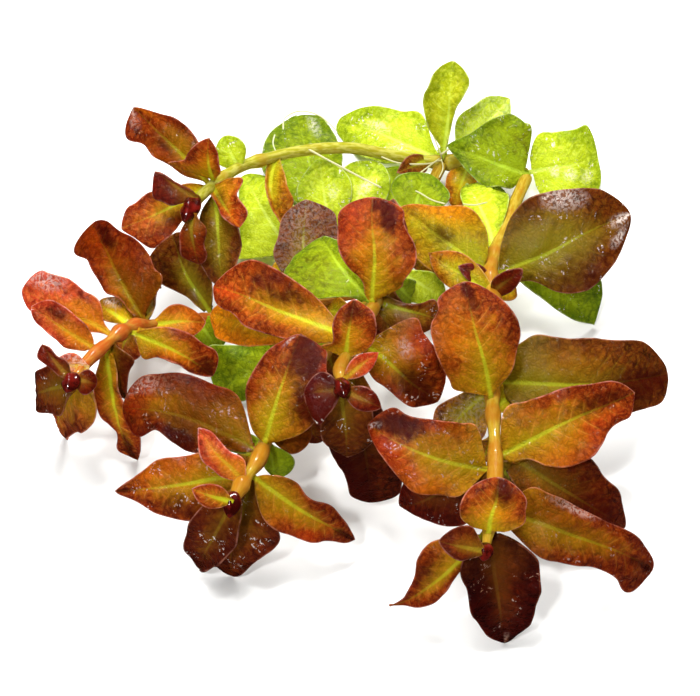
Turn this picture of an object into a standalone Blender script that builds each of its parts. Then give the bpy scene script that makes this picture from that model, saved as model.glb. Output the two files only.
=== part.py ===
# Ludwigia, a branching aquarium stem plant lying on a table: one runner, five shoots that
# turn up at their tips, opposite leaves, and a dark bud in the middle of each tip.
#
# Units are metres, +Z is up, and the origin is the middle of the footprint on the table.
# Places are read on a layout grid, seen from a viewpoint in front of the plant and above it:
# a place is (steps right, steps down, height over the table in millimetres).

import math

import bmesh
import bpy
import numpy as np
from mathutils import Matrix, Vector
from mathutils.bvhtree import BVHTree

MM = 0.001

# Driving dimensions
GRID_WIDTH = 0.140                 # real width that the layout grid covers
GRID_STEPS = 700                   # steps across that width
GRID_MIDDLE = (350, 348)           # the step that the viewpoint looks at
VIEW_TILT = math.radians(55)       # how far the viewpoint looks down
VIEW_DISTANCE = 0.450
LOOKED_AT = (0.00068, -0.010, 0.020)  # set so that the middle of the footprint is the origin
LIFT = -0.00073                    # added to every height, so that the lowest leaves meet the table
LEAF_THICKNESS = 0.0005
LEAF_CLEARANCE = 0.0014            # from one blade's middle to the next, along the line of sight
STEM_CLEARANCE = 0.0007            # from a stem's skin to a blade's middle
FORK_REACH = 1.8                   # a branch starts this many radii out from the middle of the stem it leaves
FORK_GAP = 0.0004                  # and this much more
PETIOLE_HALF_WIDTH = 0.00055
TIP_HALF_WIDTH = 0.00035
LEAST_WIDENING = 0.4               # the least and the most that a margin step changes a blade's plain width
MOST_WIDENING = 2.5
KNOT_SPACING = 0.03                # least share of a blade's length from one margin step to the next
STEM_SIDES_RESOLUTION = 2          # gives a stem eight sides
STEM_SPACING = 0.008               # between the rings of a stem
BLADE_FACES = [(14.1, (7, 5)), (8.6, (6, 5)), (0, (5, 3))]  # least width in millimetres, rows and columns

# Colours, linear RGB, with roughness
COLOURS = {
    "lime": ((0.34, 0.58, 0.02), 0.35),
    "green": ((0.10, 0.22, 0.01), 0.35),
    "olive": ((0.36, 0.27, 0.02), 0.38),
    "brown": ((0.16, 0.07, 0.012), 0.35),
    "rust": ((0.38, 0.08, 0.010), 0.38),
    "coral": ((0.62, 0.12, 0.05), 0.38),
    "maroon": ((0.045, 0.003, 0.003), 0.25),
    "stem": ((0.50, 0.36, 0.04), 0.40),
    "red_stem": ((0.60, 0.17, 0.04), 0.40),
}

# The way each shoot's tip points, which its leaves face: right, away from the viewer, up
FACING = {
    "back_left": (-0.25, -0.55, 0.85),
    "left": (-0.35, -0.50, 0.85),
    "middle": (-0.05, -0.55, 0.85),
    "front": (-0.15, -0.60, 0.80),
    "right": (0.05, -0.60, 0.80),
    "green": (0.00, -0.50, 0.90),
}

# Stems: name, colour, route, radius at its start and end in millimetres, and the stem it leaves
STEMS = [
    ("runner_stem", "stem", [(527, 176, 7), (498, 168, 5), (470, 162, 5), (442, 163, 6)], (1.5, 1.4), None),
    ("back_left_stem", "stem",
     [(442, 163, 6), (400, 157, 10), (350, 148, 15), (300, 151, 19), (262, 160, 23), (238, 168, 26),
      (212, 186, 30)], (1.35, 1.15), "runner_stem"),
    ("middle_stem", "stem",
     [(442, 163, 6), (425, 200, 7), (408, 245, 14), (390, 280, 24), (376, 303, 32), (358, 334, 36),
      (344, 360, 38), (340, 372, 38)], (1.35, 1.0), "runner_stem"),
    ("front_stem", "stem",
     [(408, 245, 14), (372, 290, 10), (330, 345, 9), (295, 400, 13), (268, 438, 21), (258, 460, 25),
      (242, 484, 27)], (1.3, 0.95), "middle_stem"),
    ("left_stem", "red_stem",
     [(372, 290, 10), (310, 302, 6), (250, 312, 6), (195, 320, 11), (155, 324, 19), (128, 328, 25),
      (104, 346, 29), (86, 363, 31)], (1.25, 0.9), "front_stem"),
    ("right_stem", "stem",
     [(527, 176, 7), (510, 215, 12), (490, 270, 17), (496, 320, 20), (492, 392, 24), (495, 446, 26),
      (494, 500, 27), (488, 534, 27)], (1.4, 1.05), "runner_stem"),
    ("green_stem", "stem",
     [(425, 200, 8), (380, 222, 6), (335, 240, 5), (288, 256, 5)], (1.25, 1.0), "middle_stem"),
]

# Buds: name, shoot, lower end, upper end, thickness in millimetres
BUDS = [
    ("back_left_tip", "back_left", (197, 196, 32), (184, 222, 34), 4.0),
    ("left_tip", "left", (76, 374, 32), (66, 392, 33), 3.6),
    ("middle_tip", "middle", (339, 379, 39), (345, 398, 40), 3.2),
    ("front_tip", "front", (235, 491, 28), (229, 518, 27), 3.4),
    ("right_tip", "right", (487, 543, 28), (483, 561, 28), 3.0),
]

# Leaves, from the undermost to the uppermost: name, solid it belongs to when it is fused to what
# it grows from, shoot, base, tip, width in millimetres, colour, and what sets its form:
#   belly   where along the blade it is widest      neck    under 1 fills out the base, over 1 thins it
#   blunt   under 1 rounds the tip, over 1 points it
#   roll    turn about the midrib, degrees          arch    rise of the middle, share of the length
#   sway    bend to its own right, share of length   fold    each half's lift at the midrib, degrees
#   cup     curl of each half, degrees, up or down  curl    drop of the tip, share of the length
LEAVES = [
    ("green_leaf_1", "", "green", (436, 160, 5), (335, 120, 2), 12.2, "lime",
     {"belly": 0.55, "blunt": 0.6, "arch": 0.06}),
    ("green_leaf_2", "", "green", (328, 236, 6), (296, 111, 5), 15.0, "green",
     {"belly": 0.62, "arch": 0.03, "blunt": 0.7}),
    ("green_leaf_20", "runner_stem", "green", (468, 164, 5), (454, 207, 4), 7.0, "olive", {"blunt": 0.6}),
    ("green_leaf_3", "runner_stem", "green", (452, 160, 5), (510, 97, 15), 9.6, "lime",
     {"belly": 0.6, "cup": 30}),
    ("green_leaf_4", "green_stem", "green", (290, 252, 5), (240, 172, 2), 13.0, "lime", {"blunt": 0.7}),
    ("green_leaf_5", "front_stem", "green", (276, 312, 5), (214, 392, 3), 14.0, "green",
     {"belly": 0.6, "blunt": 0.6}),
    ("green_leaf_6", "middle_stem", "green", (396, 272, 20), (447, 302, 9), 7.0, "lime",
     {"belly": 0.6, "blunt": 0.7}),
    ("green_leaf_7", "", "green", (506, 262, 13), (597, 326, 2), 12.5, "green",
     {"belly": 0.55, "blunt": 1.0, "sway": -0.02}),
    ("green_leaf_8", "right_stem", "green", (493, 252, 15), (466, 180, 6), 11.0, "lime",
     {"belly": 0.55, "blunt": 0.6}),
    ("green_leaf_9", "", "right", (530, 168, 8), (600, 158, 6), 16.0, "lime",
     {"neck": 0.3, "blunt": 0.42, "arch": 0.08}),
    ("green_leaf_10", "", "green", (343, 238, 6), (380, 160, 12), 11.5, "lime",
     {"belly": 0.6, "blunt": 0.7}),
    ("green_leaf_11", "", "green", (336, 238, 7), (319, 157, 14), 12.0, "lime",
     {"belly": 0.55, "arch": 0.05}),
    ("green_leaf_12", "back_left_stem", "green", (426, 160, 7), (398, 172, 12), 5.0, "brown", {}),
    ("green_leaf_13", "", "green", (424, 226, 12), (424, 171, 16), 13.0, "green",
     {"belly": 0.55, "blunt": 0.7}),
    ("green_leaf_14", "green_stem", "green", (289, 250, 6), (262, 328, 9), 6.5, "olive", {"belly": 0.5}),
    ("green_leaf_15", "back_left_stem", "green", (283, 158, 22), (283, 224, 17), 6.4, "olive",
     {"belly": 0.5, "fold": 30, "sway": 0.12}),
    ("green_leaf_16", "", "green", (300, 297, 9), (306, 199, 21), 12.5, "brown",
     {"belly": 0.55, "arch": 0.04}),
    ("green_leaf_17", "", "right", (525, 172, 9), (446, 145, 12), 14.8, "green",
     {"belly": 0.42, "neck": 0.5, "arch": 0.08}),
    ("green_leaf_18", "", "green", (441, 156, 7), (453, 61, 27), 9.2, "lime",
     {"belly": 0.66, "cup": 20, "blunt": 0.7}),
    ("green_leaf_19", "", "right", (484, 262, 19), (396, 206, 20), 13.5, "olive",
     {"belly": 0.42, "cup": -20, "neck": 0.6}),
    ("left_leaf_1", "", "left", (206, 310, 9), (170, 233, 16), 16.5, "brown",
     {"belly": 0.6, "neck": 0.65, "blunt": 0.55}),
    ("middle_leaf_1", "", "middle", (371, 301, 32), (318, 234, 27), 13.5, "green",
     {"belly": 0.55, "fold": 20}),
    ("right_leaf_1", "right_stem", "right", (488, 290, 20), (428, 252, 17), 7.4, "olive", {"neck": 0.6}),
    ("right_leaf_2", "right_stem", "right", (492, 292, 20), (517, 284, 15), 5.0, "olive", {"blunt": 0.7}),
    ("right_leaf_3", "", "right", (497, 262, 20), (633, 212, 24), 18.8, "brown",
     {"belly": 0.5, "neck": 0.6, "blunt": 0.68}),
    ("right_leaf_4", "right_stem", "right", (486, 272, 20), (458, 266, 21), 4.0, "maroon", {}),
    ("right_leaf_5", "right_stem", "right", (494, 288, 20), (522, 270, 27), 4.5, "maroon", {"blunt": 0.6}),
    ("left_leaf_2", "left_stem", "left", (132, 322, 24), (96, 301, 19), 6.0, "rust", {}),
    ("left_leaf_3", "", "left", (146, 312, 22), (89, 221, 25), 14.0, "rust",
     {"belly": 0.55, "blunt": 0.55, "sway": 0.03}),
    ("left_leaf_4", "left_stem", "left", (152, 322, 20), (207, 322, 19), 7.5, "rust", {}),
    ("back_left_leaf_1", "back_left_stem", "back_left", (240, 168, 26), (222, 136, 30), 7.0, "lime",
     {"blunt": 0.6}),
    ("back_left_leaf_2", "", "back_left", (200, 180, 31), (131, 106, 38), 10.0, "rust",
     {"belly": 0.5, "blunt": 0.8, "sway": 0.03}),
    ("back_left_leaf_3", "", "back_left", (208, 196, 30), (226, 292, 18), 10.0, "brown",
     {"belly": 0.5, "blunt": 0.7}),
    ("back_left_leaf_4", "", "back_left", (194, 198, 31), (120, 228, 28), 9.4, "rust",
     {"neck": 0.6, "sway": -0.05}),
    ("back_left_leaf_5", "back_left_stem", "back_left", (208, 186, 33), (239, 227, 31), 7.6, "rust",
     {"belly": 0.6, "blunt": 0.6}),
    ("back_left_leaf_6", "", "back_left", (204, 190, 34), (208, 139, 42), 7.8, "rust", {"blunt": 0.7}),
    ("back_left_leaf_7", "back_left_tip", "back_left", (196, 198, 34), (154, 171, 38), 5.0, "maroon", {}),
    ("back_left_leaf_8", "back_left_tip", "back_left", (192, 212, 34), (198, 266, 24), 5.4, "maroon", {}),
    ("left_leaf_5", "left_stem", "left", (113, 342, 28), (125, 402, 16), 5.6, "brown", {}),
    ("left_leaf_6", "", "left", (108, 350, 28), (136, 465, 1), 8.0, "rust",
     {"belly": 0.45, "blunt": 0.9, "neck": 0.6}),
    ("left_leaf_7", "", "left", (116, 334, 28), (20, 289, 33), 11.0, "coral",
     {"belly": 0.6, "blunt": 0.7, "sway": 0.02}),
    ("left_leaf_8", "", "left", (99, 348, 30), (30, 306, 35), 9.2, "coral",
     {"belly": 0.5, "blunt": 0.8, "neck": 0.6}),
    ("left_leaf_9", "", "left", (82, 380, 29), (60, 437, 1), 9.4, "rust", {"neck": 0.6, "blunt": 0.7}),
    ("left_leaf_10", "left_tip", "left", (74, 384, 31), (33, 396, 18), 9.0, "maroon", {"blunt": 0.5}),
    ("left_leaf_11", "left_tip", "left", (88, 368, 32), (54, 361, 33), 4.6, "coral", {}),
    ("left_leaf_12", "left_tip", "left", (70, 378, 33), (41, 344, 37), 4.4, "maroon", {}),
    ("left_leaf_13", "left_tip", "left", (74, 380, 33), (98, 384, 31), 5.0, "maroon", {}),
    ("middle_leaf_2", "middle_stem", "middle", (377, 302, 32), (443, 322, 29), 9.2, "brown", {"neck": 0.6}),
    ("middle_leaf_3", "middle_stem", "middle", (381, 290, 31), (393, 198, 46), 8.0, "rust", {"belly": 0.6}),
    ("middle_leaf_4", "", "middle", (377, 304, 34), (373, 196, 50), 16.5, "rust",
     {"belly": 0.54, "blunt": 0.65}),
    ("middle_leaf_5", "", "middle", (345, 345, 34), (205, 312, 23), 13.5, "olive",
     {"belly": 0.6, "blunt": 0.6, "neck": 1.0, "sway": -0.02, "arch": 0.06}),
    ("left_leaf_14", "", "left", (136, 324, 26), (214, 378, 16), 9.0, "rust",
     {"sway": -0.05, "blunt": 0.8}),
    ("middle_leaf_6", "", "middle", (350, 336, 37), (209, 285, 34), 13.5, "rust",
     {"belly": 0.5, "neck": 0.7, "sway": 0.02}),
    ("middle_leaf_7", "", "middle", (354, 356, 36), (373, 508, 6), 13.5, "brown",
     {"belly": 0.62, "blunt": 0.6, "neck": 0.6}),
    ("middle_leaf_8", "", "middle", (342, 388, 36), (347, 460, 20), 11.5, "brown", {"neck": 0.6}),
    ("middle_leaf_9", "", "middle", (362, 334, 37), (440, 403, 26), 12.5, "rust",
     {"belly": 0.55, "neck": 0.65}),
    ("front_leaf_1", "front_stem", "front", (263, 446, 22), (216, 440, 19), 4.4, "green", {}),
    ("front_leaf_2", "front_stem", "front", (268, 446, 21), (278, 480, 13), 5.4, "green", {}),
    ("front_leaf_11", "front_stem", "front", (270, 438, 20), (313, 431, 20), 8.4, "brown", {"blunt": 0.6}),
    ("front_leaf_3", "", "front", (262, 446, 24), (118, 409, 20), 12.0, "rust",
     {"belly": 0.55, "sway": 0.08, "neck": 0.6}),
    ("front_leaf_4", "", "front", (266, 440, 25), (300, 333, 38), 15.8, "rust",
     {"belly": 0.5, "neck": 0.6, "blunt": 0.65}),
    ("front_leaf_5", "", "front", (246, 484, 22), (229, 580, 1), 14.0, "brown",
     {"belly": 0.5, "blunt": 0.65, "neck": 0.7}),
    ("front_leaf_6", "", "front", (242, 476, 25), (111, 492, 17), 11.0, "rust",
     {"belly": 0.5, "neck": 0.65}),
    ("front_leaf_7", "", "front", (247, 476, 25), (358, 543, 8), 11.0, "rust",
     {"belly": 0.5, "neck": 0.65, "sway": -0.01}),
    ("front_leaf_8", "front_stem", "front", (245, 474, 28), (197, 428, 34), 7.0, "coral", {"belly": 0.5}),
    ("front_leaf_9", "", "front", (236, 498, 26), (197, 573, 4), 11.0, "brown",
     {"belly": 0.5, "blunt": 0.7}),
    ("front_leaf_10", "front_tip", "front", (232, 502, 29), (191, 489, 32), 4.8, "rust", {}),
    ("middle_leaf_10", "middle_tip", "middle", (341, 388, 39), (303, 396, 38), 8.0, "maroon", {"blunt": 0.6}),
    ("middle_leaf_11", "middle_tip", "middle", (344, 390, 39), (382, 408, 37), 4.6, "maroon", {}),
    ("middle_leaf_12", "middle_stem", "middle", (348, 350, 40), (354, 299, 48), 9.0, "rust",
     {"belly": 0.55}),
    ("middle_leaf_13", "middle_tip", "middle", (345, 378, 40), (379, 352, 43), 3.8, "coral", {}),
    ("right_leaf_6", "", "right", (488, 486, 22), (396, 508, 11), 12.5, "maroon", {"neck": 0.6}),
    ("right_leaf_7", "", "right", (488, 392, 22), (438, 438, 12), 11.5, "olive",
     {"belly": 0.5, "neck": 0.6}),
    ("right_leaf_8", "", "right", (500, 382, 23), (672, 373, 20), 16.5, "brown",
     {"belly": 0.5, "neck": 0.5, "blunt": 0.55, "sway": 0.035}),
    ("right_leaf_9", "", "right", (502, 458, 22), (629, 530, 10), 13.0, "brown", {"neck": 0.6}),
    ("right_leaf_10", "", "right", (493, 466, 28), (366, 424, 31), 15.5, "rust",
     {"belly": 0.52, "neck": 0.65, "blunt": 0.7, "sway": -0.04}),
    ("right_leaf_11", "", "right", (492, 394, 27), (464, 281, 44), 17.0, "rust",
     {"belly": 0.54, "blunt": 0.65}),
    ("right_leaf_12", "", "right", (499, 447, 29), (638, 392, 31), 13.4, "rust",
     {"belly": 0.46, "neck": 0.5, "sway": -0.02}),
    ("right_leaf_13", "", "right", (498, 512, 26), (658, 573, 8), 14.0, "rust",
     {"neck": 0.6, "blunt": 0.7, "sway": -0.05}),
    ("right_leaf_14", "", "right", (484, 542, 25), (386, 609, 9), 9.0, "rust",
     {"belly": 0.42, "blunt": 1.4, "neck": 0.6, "sway": -0.05}),
    ("right_leaf_15", "", "right", (492, 545, 25), (506, 648, 1), 15.5, "maroon",
     {"belly": 0.42, "blunt": 0.75, "neck": 0.5}),
    ("right_leaf_16", "", "right", (489, 536, 30), (499, 477, 37), 12.5, "rust",
     {"neck": 0.3, "blunt": 0.65}),
    ("right_leaf_17", "right_tip", "right", (484, 551, 29), (438, 541, 31), 7.0, "rust", {}),
]

# Steps that the margins of a leaf are seen to pass through, where its plain form would miss them
MARGINS = {
    "green_leaf_1": [(342, 116), (352, 110), (372, 107), (400, 109), (425, 121)],
    "green_leaf_2": [(284, 118), (271, 136), (263, 152), (266, 175), (312, 114), (326, 121), (337, 138),
        (342, 165)],
    "green_leaf_3": [(462, 112), (478, 102), (495, 96), (511, 104)],
    "green_leaf_4": [(238, 196), (238, 232), (246, 262), (262, 270)],
    "green_leaf_5": [(222, 345), (206, 362), (206, 380), (258, 345), (262, 385), (240, 402)],
    "green_leaf_6": [(400, 292), (415, 303), (430, 308)],
    "green_leaf_7": [(540, 297), (560, 312), (580, 322), (601, 305), (602, 285)],
    "green_leaf_8": [(507, 192), (508, 206), (500, 232), (460, 195), (468, 215)],
    "green_leaf_9": [(535, 140), (556, 131), (578, 128), (593, 137), (600, 185), (575, 203), (545, 200),
        (531, 192), (531, 150)],
    "green_leaf_15": [(270, 178), (268, 195), (273, 210), (284, 172), (290, 192), (290, 212)],
    "green_leaf_16": [(288, 210), (278, 235), (274, 258), (322, 204), (337, 221), (338, 245)],
    "green_leaf_17": [(462, 137), (480, 126), (497, 117), (512, 114), (523, 122), (530, 140), (456, 158),
        (470, 174), (487, 187), (500, 187)],
    "green_leaf_18": [(436, 70), (428, 85), (424, 98), (425, 112), (433, 135), (462, 64), (468, 76),
        (466, 92), (458, 106), (448, 128)],
    "green_leaf_19": [(430, 204), (462, 206), (480, 218), (488, 240)],
    "left_leaf_1": [(149, 243), (150, 256), (154, 270), (162, 284), (176, 291), (190, 300), (196, 238),
        (207, 262)],
    "middle_leaf_1": [(300, 246), (288, 262), (285, 280), (302, 297), (332, 240), (342, 255), (356, 273)],
    "right_leaf_3": [(506, 228), (520, 205), (550, 191), (590, 188), (618, 198), (627, 240), (612, 266),
        (588, 290), (560, 292), (530, 281)],
    "left_leaf_2": [(109, 298), (122, 302), (133, 311), (97, 311), (110, 322), (123, 325)],
    "left_leaf_3": [(80, 230), (77, 242), (87, 260), (95, 276), (105, 292), (122, 302), (104, 220),
        (118, 229), (134, 238), (147, 252), (154, 268), (161, 288), (160, 304)],
    "back_left_leaf_2": [(190, 130), (175, 118), (160, 113), (147, 109), (138, 103), (126, 117),
        (126, 128), (140, 143), (155, 157), (170, 166), (186, 175)],
    "back_left_leaf_3": [(240, 232), (241, 250), (236, 268)],
    "back_left_leaf_4": [(124, 214), (134, 203), (147, 194), (165, 190), (131, 236), (146, 247),
        (161, 243), (174, 232), (186, 216)],
    "back_left_leaf_5": [(214, 200), (224, 212), (229, 222), (225, 181), (238, 196), (247, 210),
        (246, 220)],
    "back_left_leaf_6": [(192, 148), (184, 160), (184, 172), (214, 145), (219, 160), (220, 173)],
    "back_left_leaf_7": [(158, 182), (172, 185), (186, 188), (149, 184), (151, 195), (162, 202),
        (176, 205)],
    "back_left_leaf_8": [(181, 230), (181, 246), (187, 260), (204, 226), (204, 245), (206, 259)],
    "left_leaf_5": [(131, 356), (129, 372), (127, 390), (106, 368), (112, 390)],
    "left_leaf_6": [(95, 380), (95, 402), (106, 421), (117, 439), (126, 456), (116, 370), (121, 400),
        (132, 424), (140, 440), (140, 454)],
    "left_leaf_7": [(28, 279), (50, 273), (68, 279), (84, 291), (100, 305), (23, 301), (48, 314),
        (78, 327)],
    "left_leaf_8": [(33, 301), (48, 300), (62, 305), (76, 316), (88, 328), (33, 319), (42, 329),
        (54, 338), (64, 348), (80, 350)],
    "left_leaf_9": [(60, 408), (49, 425), (51, 433), (74, 434), (88, 429), (97, 420), (95, 400)],
    "left_leaf_10": [(60, 364), (46, 366), (36, 376), (38, 410), (50, 414), (64, 408)],
    "left_leaf_12": [(39, 349), (42, 362), (50, 369), (48, 346), (57, 356), (66, 360)],
    "middle_leaf_2": [(395, 303), (420, 304), (440, 306)],
    "middle_leaf_4": [(348, 204), (338, 225), (338, 244), (350, 268), (364, 288), (395, 203), (404, 222),
        (415, 243), (415, 262), (404, 280), (391, 293)],
    "middle_leaf_5": [(213, 332), (226, 342), (245, 346), (275, 344), (300, 343), (215, 298), (240, 300)],
    "left_leaf_14": [(140, 353), (158, 358), (178, 362), (192, 374), (155, 328), (190, 334), (207, 346),
        (218, 363)],
    "middle_leaf_6": [(217, 269), (240, 262), (268, 265), (297, 282), (320, 301), (336, 320), (214, 296),
        (230, 312), (247, 327), (270, 335), (300, 341)],
    "middle_leaf_7": [(326, 440), (337, 463), (347, 483), (358, 501), (390, 499), (402, 486), (404, 465)],
    "middle_leaf_8": [(322, 408), (321, 424), (329, 448), (368, 400), (374, 425), (362, 452)],
    "middle_leaf_9": [(385, 317), (405, 321), (424, 333), (438, 352), (446, 378), (372, 376), (385, 387),
        (400, 400), (420, 407)],
    "front_leaf_2": [(264, 468), (291, 470), (290, 455)],
    "front_leaf_3": [(134, 388), (138, 378), (155, 374), (185, 373), (215, 385), (240, 401), (128, 425),
        (158, 430), (172, 443), (196, 452), (225, 450)],
    "front_leaf_4": [(283, 340), (262, 357), (248, 382), (246, 405), (252, 425), (318, 343), (327, 358),
        (329, 385), (322, 408), (305, 430)],
    "front_leaf_5": [(250, 568), (262, 556), (278, 545), (278, 528), (268, 508), (196, 530)],
    "front_leaf_6": [(130, 480), (150, 464), (185, 456), (215, 456), (138, 503), (160, 516), (190, 520),
        (212, 510)],
    "front_leaf_7": [(275, 476), (297, 483), (309, 498), (330, 505), (347, 524), (258, 502), (276, 530),
        (300, 539), (330, 542)],
    "front_leaf_8": [(208, 430), (219, 440), (230, 452), (245, 462), (198, 442), (201, 457), (213, 470),
        (226, 480)],
    "front_leaf_9": [(186, 530), (186, 550), (190, 563), (240, 525), (236, 546), (222, 560),
        (212, 568)],
    "middle_leaf_10": [(310, 379), (326, 373), (309, 413), (327, 417)],
    "middle_leaf_12": [(340, 309), (332, 325), (333, 342), (335, 354), (366, 305), (376, 320), (377, 335),
        (370, 346)],
    "right_leaf_6": [(402, 517), (426, 519), (450, 528), (470, 520)],
    "right_leaf_7": [(462, 393), (447, 401), (433, 418), (484, 436), (489, 418)],
    "right_leaf_8": [(512, 356), (527, 340), (555, 337), (583, 338), (625, 340), (650, 345), (665, 358),
        (668, 390), (648, 408), (620, 416), (570, 416), (530, 414), (506, 410)],
    "right_leaf_9": [(592, 461), (608, 480), (622, 498), (626, 515)],
    "right_leaf_10": [(376, 415), (405, 414), (430, 419), (460, 423), (480, 440), (370, 438), (382, 456),
        (396, 476), (412, 491), (440, 495), (465, 491), (484, 478), (489, 456)],
    "right_leaf_11": [(450, 287), (441, 294), (438, 308), (431, 322), (434, 345), (441, 365), (450, 381),
        (459, 390), (480, 285), (500, 297), (514, 314), (521, 335), (516, 358), (504, 380)],
    "right_leaf_12": [(503, 418), (528, 400), (560, 389), (595, 383), (622, 384), (634, 404), (620, 422),
        (601, 443), (588, 459), (550, 464), (520, 459)],
    "right_leaf_13": [(528, 489), (550, 494), (575, 505), (595, 516), (625, 529), (647, 547), (642, 584),
        (618, 581), (590, 567), (562, 564), (535, 553)],
    "right_leaf_14": [(428, 545), (418, 560), (411, 583), (401, 601), (410, 606), (430, 606), (445, 592),
        (452, 577), (463, 562)],
    "right_leaf_15": [(461, 568), (467, 592), (472, 615), (484, 632), (536, 558), (539, 580), (536, 602),
        (529, 622), (520, 640)],
    "right_leaf_16": [(478, 482), (466, 493), (460, 508), (466, 522), (512, 480), (524, 494), (526, 512),
        (524, 524)],
    "right_leaf_17": [(447, 533), (462, 526), (476, 530), (446, 552), (460, 561), (474, 558)],
}

EASING_PASSES = 30
EASING_SHARE = 0.6                 # how much of a blade's overlap is taken up in one pass
MOST_EASING = 0.003                # the most that one pass takes up


def unit(vector):
    return vector / np.linalg.norm(vector)


def spin(vector, axis, angle):
    """The vector turned about a unit axis."""
    return (vector * math.cos(angle) + np.cross(axis, vector) * math.sin(angle)
            + axis * axis.dot(vector) * (1 - math.cos(angle)))


RIGHT = np.array((1.0, 0.0, 0.0))
UPWARD = np.array((0.0, math.sin(VIEW_TILT), math.cos(VIEW_TILT)))
TOWARD = np.array((0.0, -math.cos(VIEW_TILT), math.sin(VIEW_TILT)))
VIEWPOINT = np.array(LOOKED_AT) + TOWARD * VIEW_DISTANCE


def place(spot):
    """The point at the given height on the line of sight through a step of the layout grid."""
    step = GRID_WIDTH / GRID_STEPS
    on_grid = (LOOKED_AT + RIGHT * (spot[0] - GRID_MIDDLE[0]) * step
               + UPWARD * (GRID_MIDDLE[1] - spot[1]) * step)
    sight = on_grid - VIEWPOINT
    return VIEWPOINT + sight * (VIEWPOINT[2] - spot[2] * MM - LIFT) / -sight[2]


def seen_from_viewpoint(points):
    """Each point's direction from the viewpoint, as steps right and up, and how far away it is."""
    sight = points - VIEWPOINT
    depth = -(sight @ TOWARD)
    return np.stack([sight @ RIGHT / depth, sight @ UPWARD / depth], axis=-1), np.linalg.norm(sight, axis=-1)


def seen_steps(points):
    """The steps of the layout grid at which points are seen."""
    slopes, _ = seen_from_viewpoint(points)
    return GRID_MIDDLE + slopes * (1, -1) * VIEW_DISTANCE * GRID_STEPS / GRID_WIDTH


def half_width(along, width, form):
    """Half of a blade's plain width: narrow at the petiole, widest at the belly, round or pointed at the tip."""
    belly = form.get("belly", 0.5)
    rise = np.sin(math.pi * along ** (math.log(0.5) / math.log(belly))).clip(0)
    return 0.5 * width * MM * rise ** np.where(along < belly, form.get("neck", 0.8), form.get("blunt", 0.85))


def leaf_root(base, end, stems, buds, owner):
    """Where a leaf starts: inside the solid that it is joined to, or just clear of the nearest stem's skin."""
    wanted = place(base)
    if owner in buds:
        return wanted
    found = []
    for name, line, radii in stems:
        fine = np.linspace(0, len(line) - 1, 8 * len(line))
        spots = np.stack([np.interp(fine, range(len(line)), line[:, k]) for k in range(3)], axis=1)
        gaps = np.linalg.norm(spots - wanted, axis=1)
        k = gaps.argmin()
        if not owner or name == owner:
            along = unit(spots[min(k + 1, len(spots) - 1)] - spots[max(k - 1, 0)])
            found.append((gaps[k], tuple(spots[k]), tuple(along), np.interp(fine[k], range(len(line)), radii)))
    _, spot, along, radius = min(found)
    spot, along = np.array(spot), np.array(along)
    outward = unit(end - spot - (end - spot).dot(along) * along)
    return spot if owner else spot + outward * (radius + STEM_CLEARANCE)


def midrib(shoot, start, end, form, along):
    """Places on a blade's midrib, with the ways across the blade and up from it."""
    length = np.linalg.norm(end - start)
    ahead = unit(end - start)
    facing = np.array(FACING[shoot])
    face = spin(unit(facing - facing.dot(ahead) * ahead), ahead, math.radians(form.get("roll", 0)))
    side = np.cross(ahead, face)
    control = ((start + end) / 2 + face * 2 * length * form.get("arch", 0.09)
               + side * 2 * length * form.get("sway", 0))
    v = along[:, None]
    spine = (1 - v) ** 2 * start + 2 * v * (1 - v) * control + v ** 2 * end
    heading = (1 - v) * (control - start) + v * (end - control)
    heading /= np.linalg.norm(heading, axis=1, keepdims=True)
    lift = face - (heading @ face)[:, None] * heading
    lift /= np.linalg.norm(lift, axis=1, keepdims=True)
    tip_fall = form.get("curl", 0.04) * length * ((v - 0.6) / 0.4).clip(0) ** 2
    return spine - lift * tip_fall, np.cross(heading, lift), lift


def section(share, form):
    """How far across and up a blade lies at a share of the way to its margin, where its half width is 1."""
    fold, cup = math.radians(form.get("fold", 8)), math.radians(form.get("cup", -14))
    bend = cup * abs(share)
    out, up = math.sin(bend) / cup, (1 - math.cos(bend)) / cup
    return (math.copysign(out * math.cos(fold) - up * math.sin(fold), share),
            out * math.sin(fold) + up * math.cos(fold))


def smooth_between(at, knots, values):
    """Values on a smooth curve through knots."""
    knots, values = np.array(knots), np.array(values)
    slopes = np.gradient(values, knots)
    k = np.clip(np.searchsorted(knots, at, side="right") - 1, 0, len(knots) - 2)
    span = knots[k + 1] - knots[k]
    t = (at - knots[k]) / span
    return ((1 + 2 * t) * (1 - t) ** 2 * values[k] + t * (1 - t) ** 2 * span * slopes[k]
            + t ** 2 * (3 - 2 * t) * values[k + 1] + t ** 2 * (t - 1) * span * slopes[k + 1])


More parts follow.
